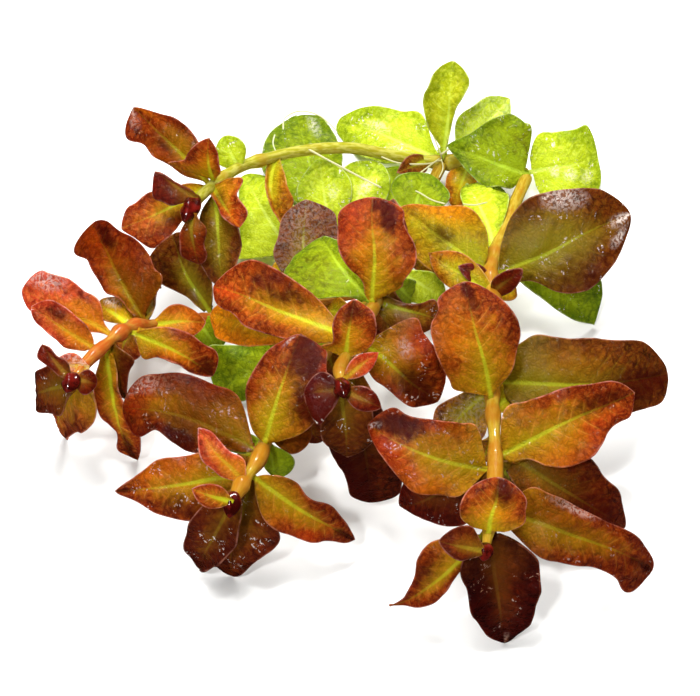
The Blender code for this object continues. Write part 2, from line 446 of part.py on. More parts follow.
def side_widths(name, shoot, start, end, width, form, along):
    """Half widths left and right of the midrib: the plain form, widened to the steps of the margins."""
    fine = np.linspace(0.02, 0.98, 97)
    spine, across, lift = midrib(shoot, start, end, form, fine)
    seen = seen_steps(spine)
    plain = half_width(fine, width, form)
    known = {-1: [(0, 1)], 1: [(0, 1)]}
    reaches = {}
    for side in known:
        out, up = section(side, form)
        reaches[side] = (seen_steps(spine + (across * out + lift * up) * MM) - seen) / MM
    for step in MARGINS.get(name, ()):
        gap = step - seen
        fits = []
        for side, reach in reaches.items():
            turn = gap[:, 0] * reach[:, 1] - gap[:, 1] * reach[:, 0]
            factor = (gap * reach).sum(axis=1) / (reach ** 2).sum(axis=1) / plain
            for k in np.flatnonzero((turn[:-1] * turn[1:] <= 0) & (factor[:-1] > 0)):
                fits.append((abs(math.log(factor[k])), side, fine[k], factor[k]))
        if fits:
            _, side, at, factor = min(fits)
            known[side].append((at, min(max(factor, LEAST_WIDENING), MOST_WIDENING)))
    widths = []
    for side in (-1, 1):
        knots = [(0, 1)]
        for at, factor in sorted(known[side])[1:]:
            if at - knots[-1][0] > KNOT_SPACING:
                knots.append((at, factor))
        knots.append((1 + KNOT_SPACING, knots[-1][1]))
        widths.append(half_width(along, width, form) * smooth_between(along, *zip(*knots)))
    return widths


def blade(name, shoot, start, end, width, form, rows, columns):
    """The middle surface of one leaf, as rows of points from its base to its tip."""
    along = (1 - np.cos(math.pi * np.arange(rows) / (rows - 1))) / 2
    spine, across, lift = midrib(shoot, start, end, form, along)
    least = np.where(along < form.get("belly", 0.5), PETIOLE_HALF_WIDTH, TIP_HALF_WIDTH)
    left, right = (np.maximum(half, least)
                   for half in side_widths(name, shoot, start, end, width, form, along))
    points = np.empty((rows, columns, 3))
    for j, share in enumerate(np.linspace(-1, 1, columns)):
        out, up = section(share, form)
        half = (left if share < 0 else right)[:, None]
        points[:, j] = spine + across * half * out + lift * half * up
    return points


def smooth_route(spots, spacing):
    """Points on a smooth curve through a stem's route, evenly spaced, with how far along each one is."""
    knots = [place(spot) for spot in spots]
    knots = [2 * knots[0] - knots[1]] + knots + [2 * knots[-1] - knots[-2]]
    fine = []
    for a, b, c, d in zip(knots, knots[1:], knots[2:], knots[3:]):
        for t in np.linspace(0, 1, 16, endpoint=False):
            fine.append(0.5 * (2 * b + (c - a) * t + (2 * a - 5 * b + 4 * c - d) * t ** 2
                               + (3 * b - a - 3 * c + d) * t ** 3))
    fine = np.array(fine + [knots[-2]])
    run = np.concatenate(([0], np.cumsum(np.linalg.norm(np.diff(fine, axis=0), axis=1))))
    wanted = np.linspace(0, run[-1], max(3, round(run[-1] / spacing) + 1))
    return np.stack([np.interp(wanted, run, fine[:, k]) for k in range(3)], axis=1)


def grid_faces(rows, columns):
    return [(i * columns + j, i * columns + j + 1, (i + 1) * columns + j + 1, (i + 1) * columns + j)
            for i in range(rows - 1) for j in range(columns - 1)]


def ease(shift):
    """A blade's shift spread over its neighbouring points, and none of it at the petiole."""
    padded = np.pad(shift, 1, mode="edge")
    near = (padded[:-2, 1:-1] + padded[2:, 1:-1] + padded[1:-1, :-2] + padded[1:-1, 2:]) / 4
    eased = 0.5 * shift + 0.5 * near
    eased[0] = 0
    eased[1] *= 0.5
    return eased


def push_apart(blades, views, trees, shifts, which, other, sign):
    """Adds to a blade's shifts what it needs to clear another, along the line of sight."""
    low, high = views[other].min(axis=(0, 1)), views[other].max(axis=(0, 1))
    within = ((views[which] >= low) & (views[which] <= high)).all(axis=2)
    for i, j in np.argwhere(within):
        sight = blades[which][i, j] - VIEWPOINT
        far = np.linalg.norm(sight)
        hit = trees[other].ray_cast(Vector(VIEWPOINT), Vector(sight / far))
        if hit[0] is None:
            continue
        short = LEAF_CLEARANCE - sign * (far - hit[3])
        move = sign * min(short, MOST_EASING) * EASING_SHARE
        if short > 0 and abs(move) > abs(shifts[which][i, j]):
            shifts[which][i, j] = move


def part_the_leaves(blades, owners, stems):
    """Leaves and stems that would touch are eased apart, along the line of sight and off the stems."""
    for _ in range(EASING_PASSES):
        trees = [BVHTree.FromPolygons(b.reshape(-1, 3).tolist(), grid_faces(*b.shape[:2])) for b in blades]
        views = [seen_from_viewpoint(b)[0] for b in blades]
        shifts = [np.zeros(b.shape[:2]) for b in blades]
        for under in range(len(blades)):
            for over in range(under + 1, len(blades)):
                if owners[under] != owners[over]:
                    push_apart(blades, views, trees, shifts, under, over, 1)
                    push_apart(blades, views, trees, shifts, over, under, -1)
        for points, shift, owner in zip(blades, shifts, owners):
            sight = points - VIEWPOINT
            points += sight / np.linalg.norm(sight, axis=2, keepdims=True) * ease(shift)[..., None]
            for name, line, radii in stems:
                if name != owner:
                    clear_of_stem(points, line, radii)


def clear_of_stem(points, line, radii):
    """Moves a blade's points straight out from a stem until they clear its skin."""
    starts, ends = line[:-1], line[1:]
    spans = ends - starts
    for (i, j) in np.ndindex(points.shape[:2]):
        point = points[i, j]
        share = np.clip(((point - starts) * spans).sum(axis=1) / (spans ** 2).sum(axis=1), 0, 1)
        away = point - (starts + spans * share[:, None])
        gaps = np.linalg.norm(away, axis=1) - (radii[:-1] + (radii[1:] - radii[:-1]) * share)
        k = gaps.argmin()
        if gaps[k] < STEM_CLEARANCE:
            points[i, j] = point + unit(away[k]) * (STEM_CLEARANCE - gaps[k])


def finish_material(obj, colour):
    rgb, roughness = COLOURS[colour]
    material = bpy.data.materials.new(obj.name)
    material.use_nodes = True
    shader = material.node_tree.nodes["Principled BSDF"]
    shader.inputs["Base Color"].default_value = (*rgb, 1)
    shader.inputs["Roughness"].default_value = roughness
    shader.inputs["Metallic"].default_value = 0
    obj.data.materials.append(material)


def leaf_object(name, points, collection):
    """A grid laid over the blade's points, thickened evenly to both sides."""
    rows, columns = points.shape[:2]
    bm = bmesh.new()
    bmesh.ops.create_grid(bm, x_segments=columns - 1, y_segments=rows - 1, size=1)
    for vertex in bm.verts:
        j = round((vertex.co.x + 1) / 2 * (columns - 1))
        i = round((vertex.co.y + 1) / 2 * (rows - 1))
        vertex.co = points[i, j]
    mesh = bpy.data.meshes.new(name)
    bm.to_mesh(mesh)
    bm.free()
    mesh.shade_smooth()
    obj = bpy.data.objects.new(name, mesh)
    collection.objects.link(obj)
    wall = obj.modifiers.new("Thickness", "SOLIDIFY")
    wall.thickness = LEAF_THICKNESS
    wall.offset = 0
    wall.use_rim = True
    return obj


def stem_line(spots, radii, parent):
    """A stem's middle line and radii, cut short where it leaves another stem."""
    line = smooth_route(spots, STEM_SPACING)
    run = np.linspace(0, 1, len(line))
    thick = (radii[0] + (radii[1] - radii[0]) * run) * MM
    if parent:
        back = unit(line[1] - line[0])
        line[0] = line[0] + back * (FORK_REACH * thick[0] + FORK_GAP)
    return line, thick


def stem_object(name, line, radii, collection):
    """A round tube along the line, made a mesh so that leaves can be joined to it."""
    data = bpy.data.curves.new(name, "CURVE")
    data.dimensions = "3D"
    data.bevel_depth = 1
    data.bevel_resolution = STEM_SIDES_RESOLUTION
    data.use_fill_caps = True
    spline = data.splines.new("POLY")
    spline.points.add(len(line) - 1)
    for point, spot, radius in zip(spline.points, line, radii):
        point.co = (*spot, 1)
        point.radius = radius
    curve = bpy.data.objects.new(name + "_guide", data)
    collection.objects.link(curve)
    bpy.context.view_layer.update()
    mesh = bpy.data.meshes.new_from_object(curve.evaluated_get(bpy.context.evaluated_depsgraph_get()))
    bpy.data.objects.remove(curve)
    bm = bmesh.new()
    bm.from_mesh(mesh)
    bmesh.ops.remove_doubles(bm, verts=bm.verts, dist=0.00001)
    bm.to_mesh(mesh)
    bm.free()
    mesh.name = name
    mesh.shade_smooth()
    mesh.set_sharp_from_angle(angle=math.radians(60))
    obj = bpy.data.objects.new(name, mesh)
    collection.objects.link(obj)
    return obj


def bud_object(name, lower, upper, thickness, collection):
    """A closed bud: an egg, pointed at its upper end."""
    start, end = place(lower), place(upper)
    bm = bmesh.new()
    bmesh.ops.create_uvsphere(bm, u_segments=8, v_segments=6, radius=0.5)
    length = np.linalg.norm(end - start)
    for vertex in bm.verts:
        taper = 1 - 0.45 * max(0, vertex.co.z * 2) ** 1.5
        vertex.co = Vector((vertex.co.x * thickness * MM * taper, vertex.co.y * thickness * MM * taper,
                            vertex.co.z * length))
    turn = Vector(end - start).to_track_quat("Z", "Y").to_matrix().to_4x4()
    bmesh.ops.transform(bm, matrix=Matrix.Translation(Vector((start + end) / 2)) @ turn, verts=bm.verts)
    mesh = bpy.data.meshes.new(name)
    bm.to_mesh(mesh)
    bm.free()
    mesh.shade_smooth()
    obj = bpy.data.objects.new(name, mesh)
    collection.objects.link(obj)
    return obj


def fuse(obj, grown):
    """Joins a small leaf to what it grows from, in one closed body."""
    grown.hide_render = True
    grown.display_type = "WIRE"
    join = obj.modifiers.new("Join " + grown.name, "BOOLEAN")
    join.operation = "UNION"
    join.solver = "EXACT"
    join.object = grown


def build():
    for obj in list(bpy.data.objects):
        bpy.data.objects.remove(obj)
    plant = bpy.data.collections.new("ludwigia")
    small = bpy.data.collections.new("joined_leaves")
    bpy.context.scene.collection.children.link(plant)
    bpy.context.scene.collection.children.link(small)

    stems = []
    for name, colour, spots, radii, parent in STEMS:
        stems.append((name, *stem_line(spots, radii, parent)))
    blades, owners = [], []
    for name, owner, shoot, base, tip, width, colour, form in LEAVES:
        rows, columns = next(size for least, size in BLADE_FACES if width >= least)
        end = place(tip)
        start = leaf_root(base, end, stems, [bud[0] for bud in BUDS], owner)
        blades.append(blade(name, shoot, start, end, width, form, rows, columns))
        owners.append(owner or name)
    part_the_leaves(blades, owners, stems)

    nodes = {}
    for (name, line, radii), (_, colour, _, _, _) in zip(stems, STEMS):
        nodes[name] = stem_object(name, line, radii, plant)
        finish_material(nodes[name], colour)
    for name, shoot, lower, upper, thickness in BUDS:
        nodes[name] = bud_object(name, lower, upper, thickness, plant)
        finish_material(nodes[name], "maroon")
    for (name, owner, _, _, _, _, colour, _), points in zip(LEAVES, blades):
        obj = leaf_object(name, points, small if owner else plant)
        finish_material(obj, colour)
        if owner:
            fuse(nodes[owner], obj)
        else:
            nodes[name] = obj


build()
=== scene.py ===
# A low clump of ludwigia, an aquarium stem plant, lying on a plain surface.
# Every leaf is a fine grid laid over the same blade form as its solid, then veined, quilted and waved.
import math
from functools import partial
import bmesh
import bpy
import numpy as np
from mathutils import Matrix, Vector
from mathutils.bvhtree import BVHTree


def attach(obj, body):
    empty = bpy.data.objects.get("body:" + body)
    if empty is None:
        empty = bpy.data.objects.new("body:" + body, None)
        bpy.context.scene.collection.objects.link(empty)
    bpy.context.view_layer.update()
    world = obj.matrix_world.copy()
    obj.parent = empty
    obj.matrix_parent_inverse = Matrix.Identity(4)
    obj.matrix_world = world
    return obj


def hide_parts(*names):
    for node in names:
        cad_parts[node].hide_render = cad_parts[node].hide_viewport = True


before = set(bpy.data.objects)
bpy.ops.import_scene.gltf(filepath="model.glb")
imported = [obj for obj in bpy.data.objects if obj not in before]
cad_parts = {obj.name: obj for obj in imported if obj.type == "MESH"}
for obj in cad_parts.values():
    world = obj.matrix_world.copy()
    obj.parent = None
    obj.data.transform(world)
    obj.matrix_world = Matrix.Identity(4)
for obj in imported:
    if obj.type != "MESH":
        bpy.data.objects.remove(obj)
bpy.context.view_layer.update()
print("frame loaded,", len(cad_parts), "solids")

mm = 0.001

layout = {
    "gridWidth": 0.140,            # real width across the layout grid
    "gridSteps": 700,
    "gridMiddle": (350, 348),      # the step that the viewpoint looks at
    "viewTilt": 55,                # degrees that the view looks down
    "viewDistance": 0.450,
    "lookedAt": (0.00068, -0.010, 0.020),
    "lift": -0.00073,              # brings the lowest leaves down to the surface
}

# the way each shoot's tip points, which its leaves face: right, away from the viewer, up
facing = {
    "backLeft": (-0.25, -0.55, 0.85),
    "left": (-0.35, -0.50, 0.85),
    "middle": (-0.05, -0.55, 0.85),
    "front": (-0.15, -0.60, 0.80),
    "right": (0.05, -0.60, 0.80),
    "green": (0.00, -0.50, 0.90),
}

# stems: name, finish, route, radius at its start and end in mm, and the stem it leaves
stems = [
    ("runner_stem", "greenStem", [(527, 176, 7), (498, 168, 5), (470, 162, 5), (442, 163, 6)],
     (1.5, 1.4), None),
    ("back_left_stem", "greenStem",
     [(442, 163, 6), (400, 157, 10), (350, 148, 15), (300, 151, 19), (262, 160, 23), (238, 168, 26),
      (212, 186, 30)], (1.35, 1.15), "runner_stem"),
    ("middle_stem", "stem",
     [(442, 163, 6), (425, 200, 7), (408, 245, 14), (390, 280, 24), (376, 303, 32), (358, 334, 36),
      (344, 360, 38), (340, 372, 38)], (1.35, 1.0), "runner_stem"),
    ("front_stem", "stem",
     [(408, 245, 14), (372, 290, 10), (330, 345, 9), (295, 400, 13), (268, 438, 21), (258, 460, 25),
      (242, 484, 27)], (1.3, 0.95), "middle_stem"),
    ("left_stem", "redStem",
     [(372, 290, 10), (310, 302, 6), (250, 312, 6), (195, 320, 11), (155, 324, 19), (128, 328, 25),
      (104, 346, 29), (86, 363, 31)], (1.25, 0.9), "front_stem"),
    ("right_stem", "stem",
     [(527, 176, 7), (510, 215, 12), (490, 270, 17), (496, 320, 20), (492, 392, 24), (495, 446, 26),
      (494, 500, 27), (488, 534, 27)], (1.4, 1.05), "runner_stem"),
    ("green_stem", "greenStem",
     [(425, 200, 8), (380, 222, 6), (335, 240, 5), (288, 256, 5)], (1.25, 1.0), "middle_stem"),
]

# buds: name, shoot, lower end, upper end, thickness in mm
buds = [
    ("back_left_tip", "backLeft", (197, 196, 32), (184, 222, 34), 4.0),
    ("left_tip", "left", (76, 374, 32), (66, 392, 33), 3.6),
    ("middle_tip", "middle", (339, 379, 39), (345, 398, 40), 3.2),
    ("front_tip", "front", (235, 491, 28), (229, 518, 27), 3.4),
    ("right_tip", "right", (487, 543, 28), (483, 561, 28), 3.0),
]

# leaves, undermost first: name, what it is fused to, shoot, base, tip, width in mm, finish, form
# form: belly = where it is widest, neck and blunt = fullness of base and tip, arch, sway, fold, cup
leaves = [
    ("green_leaf_1", "", "green", (436, 160, 5), (335, 120, 2), 12.2, "lime",
     {"belly": 0.55, "blunt": 0.6, "arch": 0.06}),
    ("green_leaf_2", "", "green", (328, 236, 6), (296, 111, 5), 15.0, "green",
     {"belly": 0.62, "arch": 0.03, "blunt": 0.7}),
    ("green_leaf_20", "runner_stem", "green", (468, 164, 5), (454, 207, 4), 7.0, "olive", {"blunt": 0.6}),
    ("green_leaf_3", "runner_stem", "green", (452, 160, 5), (510, 97, 15), 9.6, "lime",
     {"belly": 0.6, "cup": 30}),
    ("green_leaf_4", "green_stem", "green", (290, 252, 5), (240, 172, 2), 13.0, "lime", {"blunt": 0.7}),
    ("green_leaf_5", "front_stem", "green", (276, 312, 5), (214, 392, 3), 14.0, "green",
     {"belly": 0.6, "blunt": 0.6}),
    ("green_leaf_6", "middle_stem", "green", (396, 272, 20), (447, 302, 9), 7.0, "lime",
     {"belly": 0.6, "blunt": 0.7}),
    ("green_leaf_7", "", "green", (506, 262, 13), (597, 326, 2), 12.5, "green",
     {"belly": 0.55, "blunt": 1.0, "sway": -0.02}),
    ("green_leaf_8", "right_stem", "green", (493, 252, 15), (466, 180, 6), 11.0, "lime",
     {"belly": 0.55, "blunt": 0.6}),
    ("green_leaf_9", "", "right", (530, 168, 8), (600, 158, 6), 16.0, "lime",
     {"neck": 0.3, "blunt": 0.42, "arch": 0.08}),
    ("green_leaf_10", "", "green", (343, 238, 6), (380, 160, 12), 11.5, "lime",
     {"belly": 0.6, "blunt": 0.7}),
    ("green_leaf_11", "", "green", (336, 238, 7), (319, 157, 14), 12.0, "lime",
     {"belly": 0.55, "arch": 0.05}),
    ("green_leaf_12", "back_left_stem", "green", (426, 160, 7), (398, 172, 12), 5.0, "brown", {}),
    ("green_leaf_13", "", "green", (424, 226, 12), (424, 171, 16), 13.0, "green",
     {"belly": 0.55, "blunt": 0.7}),
    ("green_leaf_14", "green_stem", "green", (289, 250, 6), (262, 328, 9), 6.5, "olive", {"belly": 0.5}),
    ("green_leaf_15", "back_left_stem", "green", (283, 158, 22), (283, 224, 17), 6.4, "olive",
     {"belly": 0.5, "fold": 30, "sway": 0.12}),
    ("green_leaf_16", "", "green", (300, 297, 9), (306, 199, 21), 12.5, "brown",
     {"belly": 0.55, "arch": 0.04}),
    ("green_leaf_17", "", "right", (525, 172, 9), (446, 145, 12), 14.8, "green",
     {"belly": 0.42, "neck": 0.5, "arch": 0.08}),
    ("green_leaf_18", "", "green", (441, 156, 7), (453, 61, 27), 9.2, "lime",
     {"belly": 0.66, "cup": 20, "blunt": 0.7}),
    ("green_leaf_19", "", "right", (484, 262, 19), (396, 206, 20), 13.5, "olive",
     {"belly": 0.42, "cup": -20, "neck": 0.6}),
    ("left_leaf_1", "", "left", (206, 310, 9), (170, 233, 16), 16.5, "brown",
     {"belly": 0.6, "neck": 0.65, "blunt": 0.55}),
    ("middle_leaf_1", "", "middle", (371, 301, 32), (318, 234, 27), 13.5, "green",
     {"belly": 0.55, "fold": 20}),
    ("right_leaf_1", "right_stem", "right", (488, 290, 20), (428, 252, 17), 7.4, "olive", {"neck": 0.6}),
    ("right_leaf_2", "right_stem", "right", (492, 292, 20), (517, 284, 15), 5.0, "olive", {"blunt": 0.7}),
    ("right_leaf_3", "", "right", (497, 262, 20), (633, 212, 24), 18.8, "brown",
     {"belly": 0.5, "neck": 0.6, "blunt": 0.68}),
    ("right_leaf_4", "right_stem", "right", (486, 272, 20), (458, 266, 21), 4.0, "maroon", {}),
    ("right_leaf_5", "right_stem", "right", (494, 288, 20), (522, 270, 27), 4.5, "maroon", {"blunt": 0.6}),
    ("left_leaf_2", "left_stem", "left", (132, 322, 24), (96, 301, 19), 6.0, "rust", {}),
    ("left_leaf_3", "", "left", (146, 312, 22), (89, 221, 25), 14.0, "rust",
     {"belly": 0.55, "blunt": 0.55, "sway": 0.03}),
    ("left_leaf_4", "left_stem", "left", (152, 322, 20), (207, 322, 19), 7.5, "rust", {}),
    ("back_left_leaf_1", "back_left_stem", "backLeft", (240, 168, 26), (222, 136, 30), 7.0, "lime",
     {"blunt": 0.6}),
    ("back_left_leaf_2", "", "backLeft", (200, 180, 31), (131, 106, 38), 10.0, "rust",
     {"belly": 0.5, "blunt": 0.8, "sway": 0.03}),
    ("back_left_leaf_3", "", "backLeft", (208, 196, 30), (226, 292, 18), 10.0, "brown",
     {"belly": 0.5, "blunt": 0.7}),
    ("back_left_leaf_4", "", "backLeft", (194, 198, 31), (120, 228, 28), 9.4, "rust",
     {"neck": 0.6, "sway": -0.05}),
    ("back_left_leaf_5", "back_left_stem", "backLeft", (208, 186, 33), (239, 227, 31), 7.6, "rust",
     {"belly": 0.6, "blunt": 0.6}),
    ("back_left_leaf_6", "", "backLeft", (204, 190, 34), (208, 139, 42), 7.8, "rust", {"blunt": 0.7}),
    ("back_left_leaf_7", "back_left_tip", "backLeft", (196, 198, 34), (154, 171, 38), 5.0, "maroon", {}),
    ("back_left_leaf_8", "back_left_tip", "backLeft", (192, 212, 34), (198, 266, 24), 5.4, "maroon", {}),
    ("left_leaf_5", "left_stem", "left", (113, 342, 28), (125, 402, 16), 5.6, "brown", {}),
    ("left_leaf_6", "", "left", (108, 350, 28), (136, 465, 1), 8.0, "rust",
     {"belly": 0.45, "blunt": 0.9, "neck": 0.6}),
    ("left_leaf_7", "", "left", (116, 334, 28), (20, 289, 33), 11.0, "coral",
     {"belly": 0.6, "blunt": 0.7, "sway": 0.02}),
    ("left_leaf_8", "", "left", (99, 348, 30), (30, 306, 35), 9.2, "coral",
     {"belly": 0.5, "blunt": 0.8, "neck": 0.6}),
    ("left_leaf_9", "", "left", (82, 380, 29), (60, 437, 1), 9.4, "rust", {"neck": 0.6, "blunt": 0.7}),
    ("left_leaf_10", "left_tip", "left", (74, 384, 31), (33, 396, 18), 9.0, "maroon", {"blunt": 0.5}),
    ("left_leaf_11", "left_tip", "left", (88, 368, 32), (54, 361, 33), 4.6, "coral", {}),
    ("left_leaf_12", "left_tip", "left", (70, 378, 33), (41, 344, 37), 4.4, "maroon", {}),
    ("left_leaf_13", "left_tip", "left", (74, 380, 33), (98, 384, 31), 5.0, "maroon", {}),
    ("middle_leaf_2", "middle_stem", "middle", (377, 302, 32), (443, 322, 29), 9.2, "brown", {"neck": 0.6}),
    ("middle_leaf_3", "middle_stem", "middle", (381, 290, 31), (393, 198, 46), 8.0, "rust", {"belly": 0.6}),
    ("middle_leaf_4", "", "middle", (377, 304, 34), (373, 196, 50), 16.5, "rust",
     {"belly": 0.54, "blunt": 0.65}),
    ("middle_leaf_5", "", "middle", (345, 345, 34), (205, 312, 23), 13.5, "olive",
     {"belly": 0.6, "blunt": 0.6, "neck": 1.0, "sway": -0.02, "arch": 0.06}),
    ("left_leaf_14", "", "left", (136, 324, 26), (214, 378, 16), 9.0, "rust",
     {"sway": -0.05, "blunt": 0.8}),
    ("middle_leaf_6", "", "middle", (350, 336, 37), (209, 285, 34), 13.5, "rust",
     {"belly": 0.5, "neck": 0.7, "sway": 0.02}),
    ("middle_leaf_7", "", "middle", (354, 356, 36), (373, 508, 6), 13.5, "brown",
     {"belly": 0.62, "blunt": 0.6, "neck": 0.6}),
    ("middle_leaf_8", "", "middle", (342, 388, 36), (347, 460, 20), 11.5, "brown", {"neck": 0.6}),
    ("middle_leaf_9", "", "middle", (362, 334, 37), (440, 403, 26), 12.5, "rust",
     {"belly": 0.55, "neck": 0.65}),
    ("front_leaf_1", "front_stem", "front", (263, 446, 22), (216, 440, 19), 4.4, "green", {}),
    ("front_leaf_2", "front_stem", "front", (268, 446, 21), (278, 480, 13), 5.4, "green", {}),
    ("front_leaf_11", "front_stem", "front", (270, 438, 20), (313, 431, 20), 8.4, "brown", {"blunt": 0.6}),
    ("front_leaf_3", "", "front", (262, 446, 24), (118, 409, 20), 12.0, "rust",
     {"belly": 0.55, "sway": 0.08, "neck": 0.6}),
    ("front_leaf_4", "", "front", (266, 440, 25), (300, 333, 38), 15.8, "rust",
     {"belly": 0.5, "neck": 0.6, "blunt": 0.65}),
    ("front_leaf_5", "", "front", (246, 484, 22), (229, 580, 1), 14.0, "brown",
     {"belly": 0.5, "blunt": 0.65, "neck": 0.7}),
    ("front_leaf_6", "", "front", (242, 476, 25), (111, 492, 17), 11.0, "rust",
     {"belly": 0.5, "neck": 0.65}),
    ("front_leaf_7", "", "front", (247, 476, 25), (358, 543, 8), 11.0, "rust",
     {"belly": 0.5, "neck": 0.65, "sway": -0.01}),
    ("front_leaf_8", "front_stem", "front", (245, 474, 28), (197, 428, 34), 7.0, "coral", {"belly": 0.5}),
    ("front_leaf_9", "", "front", (236, 498, 26), (197, 573, 4), 11.0, "brown",
     {"belly": 0.5, "blunt": 0.7}),
    ("front_leaf_10", "front_tip", "front", (232, 502, 29), (191, 489, 32), 4.8, "rust", {}),
    ("middle_leaf_10", "middle_tip", "middle", (341, 388, 39), (303, 396, 38), 8.0, "maroon", {"blunt": 0.6}),
    ("middle_leaf_11", "middle_tip", "middle", (344, 390, 39), (382, 408, 37), 4.6, "maroon", {}),
    ("middle_leaf_12", "middle_stem", "middle", (348, 350, 40), (354, 299, 48), 9.0, "rust",
     {"belly": 0.55}),
    ("middle_leaf_13", "middle_tip", "middle", (345, 378, 40), (379, 352, 43), 3.8, "coral", {}),
    ("right_leaf_6", "", "right", (488, 486, 22), (396, 508, 11), 12.5, "maroon", {"neck": 0.6}),
    ("right_leaf_7", "", "right", (488, 392, 22), (438, 438, 12), 11.5, "olive",
     {"belly": 0.5, "neck": 0.6}),
    ("right_leaf_8", "", "right", (500, 382, 23), (672, 373, 20), 16.5, "brown",
     {"belly": 0.5, "neck": 0.5, "blunt": 0.55, "sway": 0.035}),
    ("right_leaf_9", "", "right", (502, 458, 22), (629, 530, 10), 13.0, "brown", {"neck": 0.6}),
    ("right_leaf_10", "", "right", (493, 466, 28), (366, 424, 31), 15.5, "rust",
     {"belly": 0.52, "neck": 0.65, "blunt": 0.7, "sway": -0.04}),
    ("right_leaf_11", "", "right", (492, 394, 27), (464, 281, 44), 17.0, "rust",
     {"belly": 0.54, "blunt": 0.65}),
    ("right_leaf_12", "", "right", (499, 447, 29), (638, 392, 31), 13.4, "rust",
     {"belly": 0.46, "neck": 0.5, "sway": -0.02}),
    ("right_leaf_13", "", "right", (498, 512, 26), (658, 573, 8), 14.0, "rust",
     {"neck": 0.6, "blunt": 0.7, "sway": -0.05}),
    ("right_leaf_14", "", "right", (484, 542, 25), (386, 609, 9), 9.0, "rust",
     {"belly": 0.42, "blunt": 1.4, "neck": 0.6, "sway": -0.05}),
    ("right_leaf_15", "", "right", (492, 545, 25), (506, 648, 1), 15.5, "maroon",
     {"belly": 0.42, "blunt": 0.75, "neck": 0.5}),
    ("right_leaf_16", "", "right", (489, 536, 30), (499, 477, 37), 12.5, "rust",
     {"neck": 0.3, "blunt": 0.65}),
    ("right_leaf_17", "right_tip", "right", (484, 551, 29), (438, 541, 31), 7.0, "rust", {}),
]

